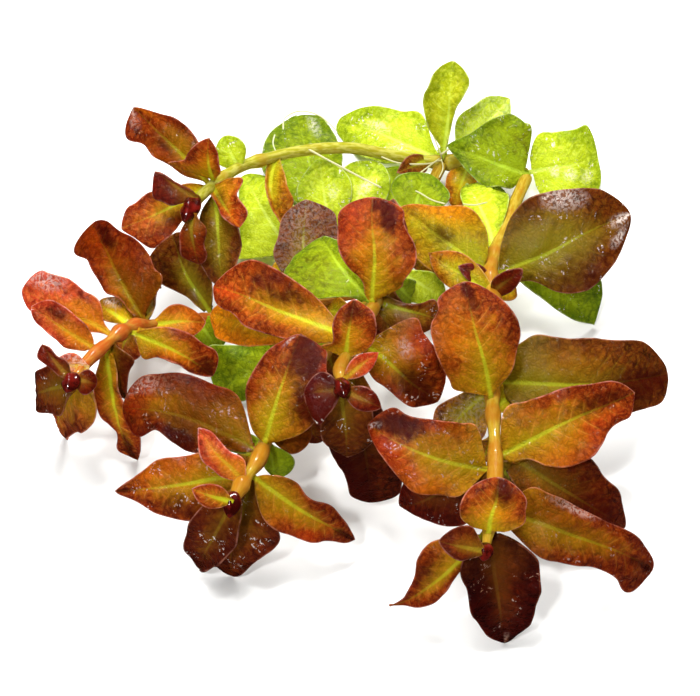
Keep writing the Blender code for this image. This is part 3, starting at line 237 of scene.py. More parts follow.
# steps that the margins of a leaf are seen to pass through, where its plain form would miss them
margins = {
    "green_leaf_1": [(342, 116), (352, 110), (372, 107), (400, 109), (425, 121)],
    "green_leaf_2": [(284, 118), (271, 136), (263, 152), (266, 175), (312, 114), (326, 121), (337, 138),
        (342, 165)],
    "green_leaf_3": [(462, 112), (478, 102), (495, 96), (511, 104)],
    "green_leaf_4": [(238, 196), (238, 232), (246, 262), (262, 270)],
    "green_leaf_5": [(222, 345), (206, 362), (206, 380), (258, 345), (262, 385), (240, 402)],
    "green_leaf_6": [(400, 292), (415, 303), (430, 308)],
    "green_leaf_7": [(540, 297), (560, 312), (580, 322), (601, 305), (602, 285)],
    "green_leaf_8": [(507, 192), (508, 206), (500, 232), (460, 195), (468, 215)],
    "green_leaf_9": [(535, 140), (556, 131), (578, 128), (593, 137), (600, 185), (575, 203), (545, 200),
        (531, 192), (531, 150)],
    "green_leaf_15": [(270, 178), (268, 195), (273, 210), (284, 172), (290, 192), (290, 212)],
    "green_leaf_16": [(288, 210), (278, 235), (274, 258), (322, 204), (337, 221), (338, 245)],
    "green_leaf_17": [(462, 137), (480, 126), (497, 117), (512, 114), (523, 122), (530, 140), (456, 158),
        (470, 174), (487, 187), (500, 187)],
    "green_leaf_18": [(436, 70), (428, 85), (424, 98), (425, 112), (433, 135), (462, 64), (468, 76),
        (466, 92), (458, 106), (448, 128)],
    "green_leaf_19": [(430, 204), (462, 206), (480, 218), (488, 240)],
    "left_leaf_1": [(149, 243), (150, 256), (154, 270), (162, 284), (176, 291), (190, 300), (196, 238),
        (207, 262)],
    "middle_leaf_1": [(300, 246), (288, 262), (285, 280), (302, 297), (332, 240), (342, 255), (356, 273)],
    "right_leaf_3": [(506, 228), (520, 205), (550, 191), (590, 188), (618, 198), (627, 240), (612, 266),
        (588, 290), (560, 292), (530, 281)],
    "left_leaf_2": [(109, 298), (122, 302), (133, 311), (97, 311), (110, 322), (123, 325)],
    "left_leaf_3": [(80, 230), (77, 242), (87, 260), (95, 276), (105, 292), (122, 302), (104, 220),
        (118, 229), (134, 238), (147, 252), (154, 268), (161, 288), (160, 304)],
    "back_left_leaf_2": [(190, 130), (175, 118), (160, 113), (147, 109), (138, 103), (126, 117),
        (126, 128), (140, 143), (155, 157), (170, 166), (186, 175)],
    "back_left_leaf_3": [(240, 232), (241, 250), (236, 268)],
    "back_left_leaf_4": [(124, 214), (134, 203), (147, 194), (165, 190), (131, 236), (146, 247),
        (161, 243), (174, 232), (186, 216)],
    "back_left_leaf_5": [(214, 200), (224, 212), (229, 222), (225, 181), (238, 196), (247, 210),
        (246, 220)],
    "back_left_leaf_6": [(192, 148), (184, 160), (184, 172), (214, 145), (219, 160), (220, 173)],
    "back_left_leaf_7": [(158, 182), (172, 185), (186, 188), (149, 184), (151, 195), (162, 202),
        (176, 205)],
    "back_left_leaf_8": [(181, 230), (181, 246), (187, 260), (204, 226), (204, 245), (206, 259)],
    "left_leaf_5": [(131, 356), (129, 372), (127, 390), (106, 368), (112, 390)],
    "left_leaf_6": [(95, 380), (95, 402), (106, 421), (117, 439), (126, 456), (116, 370), (121, 400),
        (132, 424), (140, 440), (140, 454)],
    "left_leaf_7": [(28, 279), (50, 273), (68, 279), (84, 291), (100, 305), (23, 301), (48, 314),
        (78, 327)],
    "left_leaf_8": [(33, 301), (48, 300), (62, 305), (76, 316), (88, 328), (33, 319), (42, 329),
        (54, 338), (64, 348), (80, 350)],
    "left_leaf_9": [(60, 408), (49, 425), (51, 433), (74, 434), (88, 429), (97, 420), (95, 400)],
    "left_leaf_10": [(60, 364), (46, 366), (36, 376), (38, 410), (50, 414), (64, 408)],
    "left_leaf_12": [(39, 349), (42, 362), (50, 369), (48, 346), (57, 356), (66, 360)],
    "middle_leaf_2": [(395, 303), (420, 304), (440, 306)],
    "middle_leaf_4": [(348, 204), (338, 225), (338, 244), (350, 268), (364, 288), (395, 203), (404, 222),
        (415, 243), (415, 262), (404, 280), (391, 293)],
    "middle_leaf_5": [(213, 332), (226, 342), (245, 346), (275, 344), (300, 343), (215, 298), (240, 300)],
    "left_leaf_14": [(140, 353), (158, 358), (178, 362), (192, 374), (155, 328), (190, 334), (207, 346),
        (218, 363)],
    "middle_leaf_6": [(217, 269), (240, 262), (268, 265), (297, 282), (320, 301), (336, 320), (214, 296),
        (230, 312), (247, 327), (270, 335), (300, 341)],
    "middle_leaf_7": [(326, 440), (337, 463), (347, 483), (358, 501), (390, 499), (402, 486), (404, 465)],
    "middle_leaf_8": [(322, 408), (321, 424), (329, 448), (368, 400), (374, 425), (362, 452)],
    "middle_leaf_9": [(385, 317), (405, 321), (424, 333), (438, 352), (446, 378), (372, 376), (385, 387),
        (400, 400), (420, 407)],
    "front_leaf_2": [(264, 468), (291, 470), (290, 455)],
    "front_leaf_3": [(134, 388), (138, 378), (155, 374), (185, 373), (215, 385), (240, 401), (128, 425),
        (158, 430), (172, 443), (196, 452), (225, 450)],
    "front_leaf_4": [(283, 340), (262, 357), (248, 382), (246, 405), (252, 425), (318, 343), (327, 358),
        (329, 385), (322, 408), (305, 430)],
    "front_leaf_5": [(250, 568), (262, 556), (278, 545), (278, 528), (268, 508), (196, 530)],
    "front_leaf_6": [(130, 480), (150, 464), (185, 456), (215, 456), (138, 503), (160, 516), (190, 520),
        (212, 510)],
    "front_leaf_7": [(275, 476), (297, 483), (309, 498), (330, 505), (347, 524), (258, 502), (276, 530),
        (300, 539), (330, 542)],
    "front_leaf_8": [(208, 430), (219, 440), (230, 452), (245, 462), (198, 442), (201, 457), (213, 470),
        (226, 480)],
    "front_leaf_9": [(186, 530), (186, 550), (190, 563), (240, 525), (236, 546), (222, 560),
        (212, 568)],
    "middle_leaf_10": [(310, 379), (326, 373), (309, 413), (327, 417)],
    "middle_leaf_12": [(340, 309), (332, 325), (333, 342), (335, 354), (366, 305), (376, 320), (377, 335),
        (370, 346)],
    "right_leaf_6": [(402, 517), (426, 519), (450, 528), (470, 520)],
    "right_leaf_7": [(462, 393), (447, 401), (433, 418), (484, 436), (489, 418)],
    "right_leaf_8": [(512, 356), (527, 340), (555, 337), (583, 338), (625, 340), (650, 345), (665, 358),
        (668, 390), (648, 408), (620, 416), (570, 416), (530, 414), (506, 410)],
    "right_leaf_9": [(592, 461), (608, 480), (622, 498), (626, 515)],
    "right_leaf_10": [(376, 415), (405, 414), (430, 419), (460, 423), (480, 440), (370, 438), (382, 456),
        (396, 476), (412, 491), (440, 495), (465, 491), (484, 478), (489, 456)],
    "right_leaf_11": [(450, 287), (441, 294), (438, 308), (431, 322), (434, 345), (441, 365), (450, 381),
        (459, 390), (480, 285), (500, 297), (514, 314), (521, 335), (516, 358), (504, 380)],
    "right_leaf_12": [(503, 418), (528, 400), (560, 389), (595, 383), (622, 384), (634, 404), (620, 422),
        (601, 443), (588, 459), (550, 464), (520, 459)],
    "right_leaf_13": [(528, 489), (550, 494), (575, 505), (595, 516), (625, 529), (647, 547), (642, 584),
        (618, 581), (590, 567), (562, 564), (535, 553)],
    "right_leaf_14": [(428, 545), (418, 560), (411, 583), (401, 601), (410, 606), (430, 606), (445, 592),
        (452, 577), (463, 562)],
    "right_leaf_15": [(461, 568), (467, 592), (472, 615), (484, 632), (536, 558), (539, 580), (536, 602),
        (529, 622), (520, 640)],
    "right_leaf_16": [(478, 482), (466, 493), (460, 508), (466, 522), (512, 480), (524, 494), (526, 512),
        (524, 524)],
    "right_leaf_17": [(447, 533), (462, 526), (476, 530), (446, 552), (460, 561), (474, 558)],
}

# low leaves seen in part between the others: name, stem, shoot, base, tip, width in mm, finish, form
underLeaves = [
    ("under_leaf_1", "right_stem", "right", (492, 262, 16), (407, 263, 5), 8.0, "olive", {}),
    ("under_leaf_2", "middle_stem", "middle", (382, 290, 25), (388, 348, 10), 9.0, "umber", {}),
    ("under_leaf_3", "middle_stem", "green", (388, 283, 24), (414, 302, 12), 6.0, "green", {}),
    ("under_leaf_4", "front_stem", "middle", (352, 316, 9), (320, 309, 3), 6.5, "olive", {}),
    ("under_leaf_5", "front_stem", "middle", (328, 348, 9), (338, 380, 3), 7.0, "umber", {}),
    ("under_leaf_6", "front_stem", "front", (290, 405, 14), (322, 444, 5), 7.5, "umber", {}),
    ("under_leaf_7", "left_stem", "green", (196, 320, 11), (222, 350, 3), 11.0, "green", {}),
    ("under_leaf_8", "left_stem", "left", (134, 328, 24), (124, 357, 15), 8.0, "rust", {}),
    ("under_leaf_9", "left_stem", "left", (146, 325, 21), (158, 283, 9), 7.5, "brown", {}),
    ("under_leaf_10", "front_stem", "front", (260, 455, 24), (236, 451, 13), 6.5, "rust", {}),
    ("under_leaf_11", "right_stem", "right", (494, 412, 24), (514, 388, 14), 7.0, "olive", {}),
    ("under_leaf_12", "right_stem", "right", (495, 440, 26), (477, 458, 14), 7.5, "rust", {}),
    ("under_leaf_13", "right_stem", "right", (494, 462, 26), (518, 486, 14), 7.0, "brown", {}),
    ("under_leaf_14", "green_stem", "green", (398, 214, 7), (388, 164, 2), 8.0, "green", {}),
]
leafSlots = {
    "green": "green_leaf",
    "olive": "olive_leaf",
    "brown": "brown_leaf",
    "umber": "brown_leaf",
    "rust": "rust_leaf",
}

# what sets a leaf apart: where it is dark, coral, green, gold, pale (painted highlights: a milky wet gleam
# with white glints painted into the colour), wet (a clear film on it, and painted glints in patches) and deep
# (darker and redder), each an amount or a list of (amount, (place across, place along), reach); ripple, how
# much its margin waves; rolls of its margin as (side, from, to, rise in mm); finish, if not the one in its
# table
leafLooks = {
    "green_leaf_1": {"pale": [(0.5, (0.3, 0.6), 0.12), (0.4, (-0.3, 0.35), 0.1)], "wet": 1, "ripple": 1.6},
    "green_leaf_2": {"pale": [(0.5, (0.5, 0.85), 0.12)], "wet": 0.5, "rolls": [(0, 0.3, 0.9, 1.0)]},
    "green_leaf_3": {"wet": 1, "ripple": 1.8, "pale": 0.15},
    "green_leaf_7": {"dark": 0, "wet": 1, "pale": [(0.5, (-0.3, 0.5), 0.1)]},
    "green_leaf_9": {"pale": [(0.9, (0.1, 0.3), 0.08), (0.8, (0.25, 0.5), 0.09), (0.5, (0.4, 0.75), 0.1)],
        "wet": 1, "ripple": 1.5},
    "green_leaf_10": {"pale": [(0.6, (0.1, 0.6), 0.14)], "wet": 1},
    "green_leaf_11": {"pale": [(0.4, (0.3, 0.5), 0.1)], "wet": 1},
    "green_leaf_16": {"pale": 0.12, "dark": 0.15},
    "green_leaf_17": {"dark": [(0.35, (0.6, 0.15), 0.25)], "wet": 0.6, "ripple": 0.8},
    "green_leaf_18": {"gold": 0.1, "ripple": 0.6},
    "green_leaf_19": {"dark": [(0.7, (0.1, 0.45), 0.18)], "gold": [(0.7, (0.8, 0.5), 0.3)], "green": 0.2},
    "left_leaf_1": {"dark": [(0.6, (0.1, 0.75), 0.3)], "green": [(0.9, (0, 0.35), 0.25)]},
    "middle_leaf_1": {"dark": [(0.35, (-0.5, 0.5), 0.4)]},
    "right_leaf_3": {"deep": 0.2, "pale": [(0.6, (-0.8, 0.6), 0.14), (1, (0.1, 0.97), 0.13),
        (0.8, (0.6, 0.85), 0.1)], "dark": [(0.5, (0.8, 0.5), 0.4)], "green": [(0.8, (0, 0.4), 0.4)],
        "wet": 1},
    "left_leaf_3": {"deep": 0.9, "coral": [(0.4, (0.3, 0.95), 0.15)], "gold": [(0.4, (-0.3, 0.85), 0.3)],
        "dark": [(1, (0.4, 0.75), 0.2)], "green": [(0.7, (0, 0.15), 0.25)]},
    "left_leaf_2": {"green": 0.6, "pale": [(0.7, (0.6, 0.6), 0.2)]},
    "left_leaf_4": {"gold": 0.3},
    "left_leaf_5": {"finish": "umber", "dark": 0.4},
    "left_leaf_6": {"green": [(0.8, (0, 0.25), 0.25)], "dark": [(1, (0, 0.92), 0.3)]},
    "left_leaf_7": {"pale": [(0.45, (0.7, 0.8), 0.2)], "dark": [(0.5, (0.8, 0.35), 0.25)],
        "gold": [(0.7, (-0.3, 0.35), 0.3)]},
    "left_leaf_8": {"deep": 0.2, "dark": [(0.7, (0.5, 0.6), 0.22)], "gold": [(0.9, (0, 0.15), 0.35)]},
    "left_leaf_9": {"dark": [(0.5, (-0.7, 0.5), 0.3)]},
    "left_leaf_10": {"deep": 0.3, "finish": "umber", "wet": 1},
    "left_leaf_11": {"pale": 0.3},
    "left_leaf_14": {"dark": [(1, (0, 0.95), 0.34)], "green": [(0.7, (-0.2, 0.2), 0.25)],
        "gold": [(0.5, (0.2, 0.5), 0.25)]},
    "back_left_leaf_1": {"wet": 1},
    "back_left_leaf_2": {"deep": 0.65, "green": [(0.5, (0.5, 0.3), 0.3)], "gold": [(0.6, (0.6, 0.85), 0.2),
        (0.6, (-0.8, 0.4), 0.25)], "dark": [(0.7, (-0.35, 0.5), 0.16)],
        "pale": [(0.4, (-0.4, 0.95), 0.15)]},
    "back_left_leaf_3": {"green": [(0.6, (0, 0.7), 0.3)]},
    "back_left_leaf_4": {"green": [(0.7, (0.1, 0.3), 0.3)], "dark": [(0.6, (-0.6, 0.5), 0.3),
        (0.4, (0.7, 0.5), 0.3)]},
    "back_left_leaf_5": {"gold": [(0.5, (0, 0.85), 0.25)], "coral": [(0.6, (0, 0.9), 0.25)],
        "dark": [(0.7, (0, 0.3), 0.3)]},
    "back_left_leaf_6": {"coral": [(0.3, (0, 0.9), 0.2)], "gold": [(0.5, (0, 0.5), 0.3)],
        "dark": [(0.7, (0.3, 0.25), 0.12)]},
    "back_left_leaf_7": {"dark": [(0.5, (0, 0.9), 0.3)]},
    "back_left_leaf_8": {"finish": "umber", "wet": 1, "ripple": 2.5, "coral": 0.2},
    "middle_leaf_2": {"wet": 1},
    "middle_leaf_3": {"dark": 0.7},
    "middle_leaf_4": {"coral": [(0.5, (-0.6, 0.75), 0.25)], "gold": [(0.4, (-0.2, 0.5), 0.3)],
        "dark": [(1, (0.5, 0.86), 0.2), (0.8, (0.1, 0.93), 0.14)], "green": [(0.7, (0, 0.1), 0.25)]},
    "middle_leaf_5": {"gold": 0.55, "ripple": 1.4},
    "middle_leaf_6": {"coral": [(0.7, (-0.1, 0.95), 0.2)], "dark": [(0.7, (0.55, 0.5), 0.3)],
        "gold": [(0.6, (-0.3, 0.1), 0.3)]},
    "middle_leaf_7": {"deep": 0.5, "finish": "umber", "dark": [(0.95, (0.3, 0.6), 0.6)]},
    "middle_leaf_8": {"finish": "umber", "green": 0.15, "wet": 1, "dark": 0.25},
    "middle_leaf_9": {"deep": 0.5, "coral": [(0.5, (-0.7, 0.4), 0.25)], "dark": [(0.9, (0.2, 0.75), 0.4)],
        "pale": [(0.6, (-0.45, 0.35), 0.1)], "wet": 1},
    "middle_leaf_12": {"dark": [(0.95, (0, 0.85), 0.3)], "gold": [(0.6, (0, 0.3), 0.25)]},
    "middle_leaf_13": {"coral": 0.5, "deep": 0.3},
    "middle_leaf_10": {"dark": 0.75, "wet": 1},
    "front_leaf_2": {"green": 0.7},
    "front_leaf_3": {"deep": 0.85, "coral": [(0.6, (0, 0.97), 0.15), (0.3, (0.6, 0.8), 0.2)],
        "green": [(0.75, (0.1, 0.4), 0.35)], "dark": [(0.9, (-0.6, 0.5), 0.35)],
        "pale": [(0.5, (0.85, 0.75), 0.2)], "wet": 1},
    "front_leaf_4": {"dark": [(1, (0.5, 0.85), 0.36), (1, (0.8, 0.5), 0.3)],
        "coral": [(0.9, (0.9, 0.72), 0.1)], "green": [(0.8, (-0.1, 0.15), 0.3)],
        "pale": [(0.5, (-0.6, 0.93), 0.08)], "deep": 0.3},
    "front_leaf_5": {"finish": "umber", "wet": 1, "dark": 0.35, "green": [(0.6, (0, 0.25), 0.2)]},
    "front_leaf_6": {"deep": 0.25, "gold": [(0.5, (0.7, 0.6), 0.3)], "dark": [(1, (0, 0.97), 0.25),
        (0.6, (-0.5, 0.5), 0.35)], "wet": 0.6},
    "front_leaf_7": {"deep": 0.4, "dark": [(1, (0, 0.97), 0.26), (0.4, (-0.5, 0.5), 0.3)],
        "green": [(0.4, (0, 0.3), 0.3)], "coral": [(0.4, (0.8, 0.6), 0.25)]},
    "front_leaf_8": {"gold": [(0.5, (0, 0.4), 0.3)], "dark": [(0.5, (-0.7, 0.7), 0.25)]},
    "front_leaf_9": {"finish": "umber", "wet": 1, "dark": 0.5, "rolls": [(0, 0.2, 0.9, 0.8)]},
    "front_leaf_11": {"finish": "umber", "gold": 0.2},
    "right_leaf_6": {"dark": 0.4, "wet": 1},
    "right_leaf_7": {"dark": 0.35, "wet": 1, "pale": 0.15},
    "right_leaf_8": {"deep": 0.3, "dark": [(0.8, (0.2, 0.85), 0.38)], "green": [(0.35, (0, 0.15), 0.35)],
        "gold": [(0.25, (-0.3, 0.3), 0.3)], "rolls": [(1, 0.05, 0.45, 1.4)]},
    "right_leaf_9": {"finish": "umber", "dark": [(0.75, (0, 0.75), 0.45)],
        "green": [(0.3, (0, 0.2), 0.25)]},
    "right_leaf_10": {"deep": 0.4, "dark": [(0.9, (0.55, 0.75), 0.26)], "coral": [(0.6, (-0.5, 0.75), 0.3)],
        "green": [(0.5, (0, 0.3), 0.3)], "gold": [(0.5, (-0.7, 0.35), 0.3)],
        "pale": [(0.7, (0.2, 0.98), 0.1)], "wet": 0.6},
    "right_leaf_11": {"dark": [(0.9, (0.1, 0.95), 0.24), (0.4, (0.8, 0.6), 0.25)],
        "gold": [(0.5, (-0.6, 0.6), 0.3)], "green": [(0.5, (0, 0.12), 0.25)], "deep": 0.1},
    "right_leaf_12": {"dark": [(0.7, (-0.3, 0.75), 0.35)], "gold": [(0.4, (0.6, 0.25), 0.3)], "deep": 0.25,
        "green": [(0.4, (0.1, 0.25), 0.25)], "coral": [(0.5, (0.5, 0.65), 0.2)],
        "rolls": [(1, 0.1, 0.6, 1.2)]},
    "right_leaf_13": {"deep": 0.65, "dark": [(0.75, (0, 0.95), 0.22), (0.4, (0.6, 0.5), 0.3)],
        "green": [(0.35, (0, 0.35), 0.3)], "pale": [(0.6, (-0.85, 0.35), 0.12)], "wet": 0.5},
    "right_leaf_14": {"deep": 0.5, "green": [(0.4, (0, 0.4), 0.3)], "dark": [(0.6, (0.6, 0.5), 0.3)]},
    "right_leaf_15": {"deep": 0.8, "dark": 0.45, "wet": 1, "pale": [(1, (-0.1, 0.96), 0.13)],
        "rolls": [(0, 0.1, 0.7, 1.2)]},
    "right_leaf_16": {"dark": [(1, (0.2, 0.85), 0.36)], "gold": [(0.8, (0, 0.3), 0.3)]},
    "right_leaf_17": {"finish": "umber", "dark": 0.3},
}

easing = {
    "passes": 30,
    "share": 0.6,                  # of an overlap, taken up in one pass
    "most": 0.003,                 # the most that one pass takes up
    "leafClearance": 0.0014,       # from one blade's middle to the next, along the line of sight
    "stemClearance": 0.0007,       # from a stem's skin to a blade's middle
}

rightWay = np.array((1.0, 0.0, 0.0))
viewTilt = math.radians(layout["viewTilt"])
upWay = np.array((0.0, math.sin(viewTilt), math.cos(viewTilt)))
nearWay = np.array((0.0, -math.cos(viewTilt), math.sin(viewTilt)))
lookedAt = np.array(layout["lookedAt"])
viewpoint = lookedAt + nearWay * layout["viewDistance"]


def unit(vector):
    return vector / np.linalg.norm(vector)


def place(spot):  # the point at a height in mm on the line of sight through a step of the grid
    step = layout["gridWidth"] / layout["gridSteps"]
    onGrid = (lookedAt + rightWay * (spot[0] - layout["gridMiddle"][0]) * step
              + upWay * (layout["gridMiddle"][1] - spot[1]) * step)
    sight = onGrid - viewpoint
    return viewpoint + sight * (viewpoint[2] - spot[2] * mm - layout["lift"]) / -sight[2]


# blade form

tipCurl = 0.04  # how far the tip falls, as a share of the length


def slopesOf(points):  # how far right and up of the middle of the view points are seen
    sight = points - viewpoint
    depth = -(sight @ nearWay)
    return np.stack([sight @ rightWay / depth, sight @ upWay / depth], axis=-1)


def seenSteps(points):  # the steps of the grid at which points are seen
    slopes = slopesOf(points) * (1, -1)
    return layout["gridMiddle"] + slopes * layout["viewDistance"] * layout["gridSteps"] / layout["gridWidth"]


def halfWidth(along, width, form):  # narrow petiole, belly, round or pointed tip
    belly = form.get("belly", 0.5)
    rise = np.sin(math.pi * along ** (math.log(0.5) / math.log(belly))).clip(0)
    return 0.5 * width * mm * rise ** np.where(along < belly, form.get("neck", 0.8), form.get("blunt", 0.85))


def midrib(shoot, start, end, form, along):  # places on it, with the ways across the blade and up from it
    length = np.linalg.norm(end - start)
    ahead = unit(end - start)
    face = np.array(facing[shoot])
    face = unit(face - face.dot(ahead) * ahead)
    side = np.cross(ahead, face)
    control = ((start + end) / 2 + face * 2 * length * form.get("arch", 0.09)
               + side * 2 * length * form.get("sway", 0))
    v = along[:, None]
    spine = (1 - v) ** 2 * start + 2 * v * (1 - v) * control + v ** 2 * end
    heading = (1 - v) * (control - start) + v * (end - control)
    heading /= np.linalg.norm(heading, axis=1, keepdims=True)
    lift = face - (heading @ face)[:, None] * heading
    lift /= np.linalg.norm(lift, axis=1, keepdims=True)
    tipFall = tipCurl * length * ((v - 0.6) / 0.4).clip(0) ** 2
    return spine - lift * tipFall, np.cross(heading, lift), lift


def section(share, form):  # how far across and up a blade lies, where its half width is 1
    fold, cup = math.radians(form.get("fold", 8)), math.radians(form.get("cup", -14))
    bend = cup * np.abs(share)
    out, up = np.sin(bend) / cup, (1 - np.cos(bend)) / cup
    across = out * math.cos(fold) - up * math.sin(fold)
    return across * np.sign(share), out * math.sin(fold) + up * math.cos(fold)


def smoothBetween(at, knots, values):  # a smooth curve through values at knots
    knots, values = np.array(knots), np.array(values)
    slopes = np.gradient(values, knots)
    k = np.clip(np.searchsorted(knots, at, side="right") - 1, 0, len(knots) - 2)
    span = knots[k + 1] - knots[k]
    t = (at - knots[k]) / span
    return ((1 + 2 * t) * (1 - t) ** 2 * values[k] + t * (1 - t) ** 2 * span * slopes[k]
            + t ** 2 * (3 - 2 * t) * values[k + 1] + t ** 2 * (t - 1) * span * slopes[k + 1])


marginFit = {"least": 0.4, "most": 2.5, "spacing": 0.03}  # widening of the plain form, and between two steps


def sideFactors(name, shoot, start, end, width, form):  # a blade's widening left and right of its midrib
    fine = np.linspace(0.02, 0.98, 97)
    spine, across, lift = midrib(shoot, start, end, form, fine)
    seen = seenSteps(spine)
    plain = halfWidth(fine, width, form)
    known = {-1: [(0, 1)], 1: [(0, 1)]}
    reaches = {}
    for side in known:
        out, up = section(side, form)
        reaches[side] = (seenSteps(spine + (across * out + lift * up) * mm) - seen) / mm
    for step in margins.get(name, ()):
        gap = step - seen
        fits = []
        for side, reach in reaches.items():
            turn = gap[:, 0] * reach[:, 1] - gap[:, 1] * reach[:, 0]
            factor = (gap * reach).sum(axis=1) / (reach ** 2).sum(axis=1) / plain
            for k in np.flatnonzero((turn[:-1] * turn[1:] <= 0) & (factor[:-1] > 0)):
                fits.append((abs(math.log(factor[k])), side, fine[k], factor[k]))
        if fits:
            _, side, at, factor = min(fits)
            known[side].append((at, min(max(factor, marginFit["least"]), marginFit["most"])))
    factors = []
    for side in (-1, 1):
        knots = [(0, 1)]
        for at, factor in sorted(known[side])[1:]:
            if at - knots[-1][0] > marginFit["spacing"]:
                knots.append((at, factor))
        knots.append((1 + marginFit["spacing"], knots[-1][1]))
        factors.append(tuple(zip(*knots)))
    return factors


def bladePoints(shoot, start, end, form, rows, columns, halves):  # halves: left and right, at each row
    spine, across, lift = midrib(shoot, start, end, form, rows)
    out, up = section(columns, form)
    half = np.where(columns[None, :] < 0, halves[0][:, None], halves[1][:, None])
    return (spine[:, None] + across[:, None] * (half * out[None, :])[..., None]
            + lift[:, None] * (half * up[None, :])[..., None])


coarseMake = {
    "sizes": ((14.1, (7, 5)), (8.6, (6, 5)), (0, (5, 3))),  # from a width in mm, rows and columns
    "least": (0.00055, 0.00035),   # half width towards the base and towards the tip
    "spacing": 0.008,              # of a stem's rings
}


def coarseBlade(shoot, start, end, width, form, factors):  # as its solid's
    rowCount, columnCount = next(size for least, size in coarseMake["sizes"] if width >= least)
    rows = (1 - np.cos(math.pi * np.arange(rowCount) / (rowCount - 1))) / 2
    least = np.where(rows < form.get("belly", 0.5), *coarseMake["least"])
    plain = halfWidth(rows, width, form)
    halves = [np.maximum(plain * smoothBetween(rows, *knots), least) for knots in factors]
    return bladePoints(shoot, start, end, form, rows, np.linspace(-1, 1, columnCount), halves)


# stems' middle lines

def smoothRoute(knots, spacing):
    knots = [2 * knots[0] - knots[1]] + knots + [2 * knots[-1] - knots[-2]]
    fine = []
    for a, b, c, d in zip(knots, knots[1:], knots[2:], knots[3:]):
        for t in np.linspace(0, 1, 16, endpoint=False):  # a curve through all knots
            fine.append(0.5 * (2 * b + (c - a) * t + (2 * a - 5 * b + 4 * c - d) * t ** 2
                               + (3 * b - a - 3 * c + d) * t ** 3))
    fine = np.array(fine + [knots[-2]])
    run = lengthsAlong(fine)
    wanted = np.linspace(0, run[-1], max(3, round(run[-1] / spacing) + 1))
    return np.stack([np.interp(wanted, run, fine[:, k]) for k in range(3)], axis=1)


def taper(radii, count):  # from the first radius to the second, in even steps
    return (radii[0] + (radii[1] - radii[0]) * np.linspace(0, 1, count)) * mm


def lengthsAlong(line):
    return np.concatenate(([0], np.cumsum(np.linalg.norm(np.diff(line, axis=0), axis=1))))


def stemLine(spots, radii, parent):  # as the solid's: cut short where it leaves another stem
    line = smoothRoute([place(spot) for spot in spots], coarseMake["spacing"])
    thick = taper(radii, len(line))
    if parent:
        line[0] = line[0] + unit(line[1] - line[0]) * (1.8 * thick[0] + 0.0004)
    return line, thick


def leafRoot(base, end, stemLines, owner):  # in the stem it is joined to, or just clear of the nearest one
    wanted = place(base)
    found = []
    for name, line, radii in stemLines:
        fine = np.linspace(0, len(line) - 1, 8 * len(line))
        spots = np.stack([np.interp(fine, range(len(line)), line[:, k]) for k in range(3)], axis=1)
        gaps = np.linalg.norm(spots - wanted, axis=1)
        k = gaps.argmin()
        if not owner or name == owner:
            along = unit(spots[min(k + 1, len(spots) - 1)] - spots[max(k - 1, 0)])
            radius = np.interp(fine[k], range(len(line)), radii)
            found.append((gaps[k], tuple(spots[k]), tuple(along), radius, name, fine[k] / (len(line) - 1)))
    _, spot, along, radius, name, share = min(found)
    spot, along = np.array(spot), np.array(along)
    outward = unit(end - spot - (end - spot).dot(along) * along)
    return (spot if owner else spot + outward * (radius + easing["stemClearance"])), name, share


# leaves and stems that would touch are eased apart, along the line of sight and off the stems

def gridFaces(rows, columns):  # corners of each face, for tracing lines of sight
    return [(i * columns + j, i * columns + j + 1, (i + 1) * columns + j + 1, (i + 1) * columns + j)
            for i in range(rows - 1) for j in range(columns - 1)]


def ease(shift):  # evened out over the blade, with its base held
    padded = np.pad(shift, 1, mode="edge")
    near = (padded[:-2, 1:-1] + padded[2:, 1:-1] + padded[1:-1, :-2] + padded[1:-1, 2:]) / 4
    eased = 0.5 * shift + 0.5 * near
    eased[0] = 0
    eased[1] *= 0.5
    return eased


def pushApart(blades, views, trees, shifts, which, other, sign):  # sign: 1 away from the viewer, -1 nearer
    low, high = views[other].min(axis=(0, 1)), views[other].max(axis=(0, 1))
    within = ((views[which] >= low) & (views[which] <= high)).all(axis=2)
    for i, j in np.argwhere(within):
        sight = blades[which][i, j] - viewpoint
        far = np.linalg.norm(sight)
        hit = trees[other].ray_cast(Vector(viewpoint), Vector(sight / far))
        if hit[0] is None:
            continue
        short = easing["leafClearance"] - sign * (far - hit[3])
        move = sign * min(short, easing["most"]) * easing["share"]
        if short > 0 and abs(move) > abs(shifts[which][i, j]):
            shifts[which][i, j] = move


def clearOfStem(points, line, radii):  # moves points that are in a stem, or too close to it, outwards
    starts = line[:-1]
    spans = line[1:] - starts
    flat = points.reshape(-1, 1, 3)
    share = (((flat - starts) * spans).sum(axis=2) / (spans ** 2).sum(axis=1)).clip(0, 1)
    away = flat - (starts + spans * share[..., None])
    reach = np.linalg.norm(away, axis=2)
    gaps = reach - (radii[:-1] + (radii[1:] - radii[:-1]) * share)
    k = gaps.argmin(axis=1)
    rows = np.arange(len(k))
    short = (easing["stemClearance"] - gaps[rows, k]).clip(0)
    points += (away[rows, k] / reach[rows, k, None] * short[:, None]).reshape(points.shape)


def partTheLeaves(blades, owners, stemLines):
    for _ in range(easing["passes"]):
        trees = [BVHTree.FromPolygons(b.reshape(-1, 3).tolist(), gridFaces(*b.shape[:2])) for b in blades]
        views = [slopesOf(b) for b in blades]
        lows = np.array([v.min(axis=(0, 1)) for v in views])
        highs = np.array([v.max(axis=(0, 1)) for v in views])
        cross = ((lows[:, None] <= highs[None]) & (lows[None] <= highs[:, None])).all(axis=2)
        shifts = [np.zeros(b.shape[:2]) for b in blades]
        for under, over in np.argwhere(np.triu(cross, 1)):
            if owners[under] != owners[over]:
                pushApart(blades, views, trees, shifts, under, over, 1)
                pushApart(blades, views, trees, shifts, over, under, -1)
        for points, shift, owner in zip(blades, shifts, owners):
            sight = points - viewpoint
            points += sight / np.linalg.norm(sight, axis=2, keepdims=True) * ease(shift)[..., None]
            for name, line, radii in stemLines:
                if name != owner:
                    clearOfStem(points, line, radii)


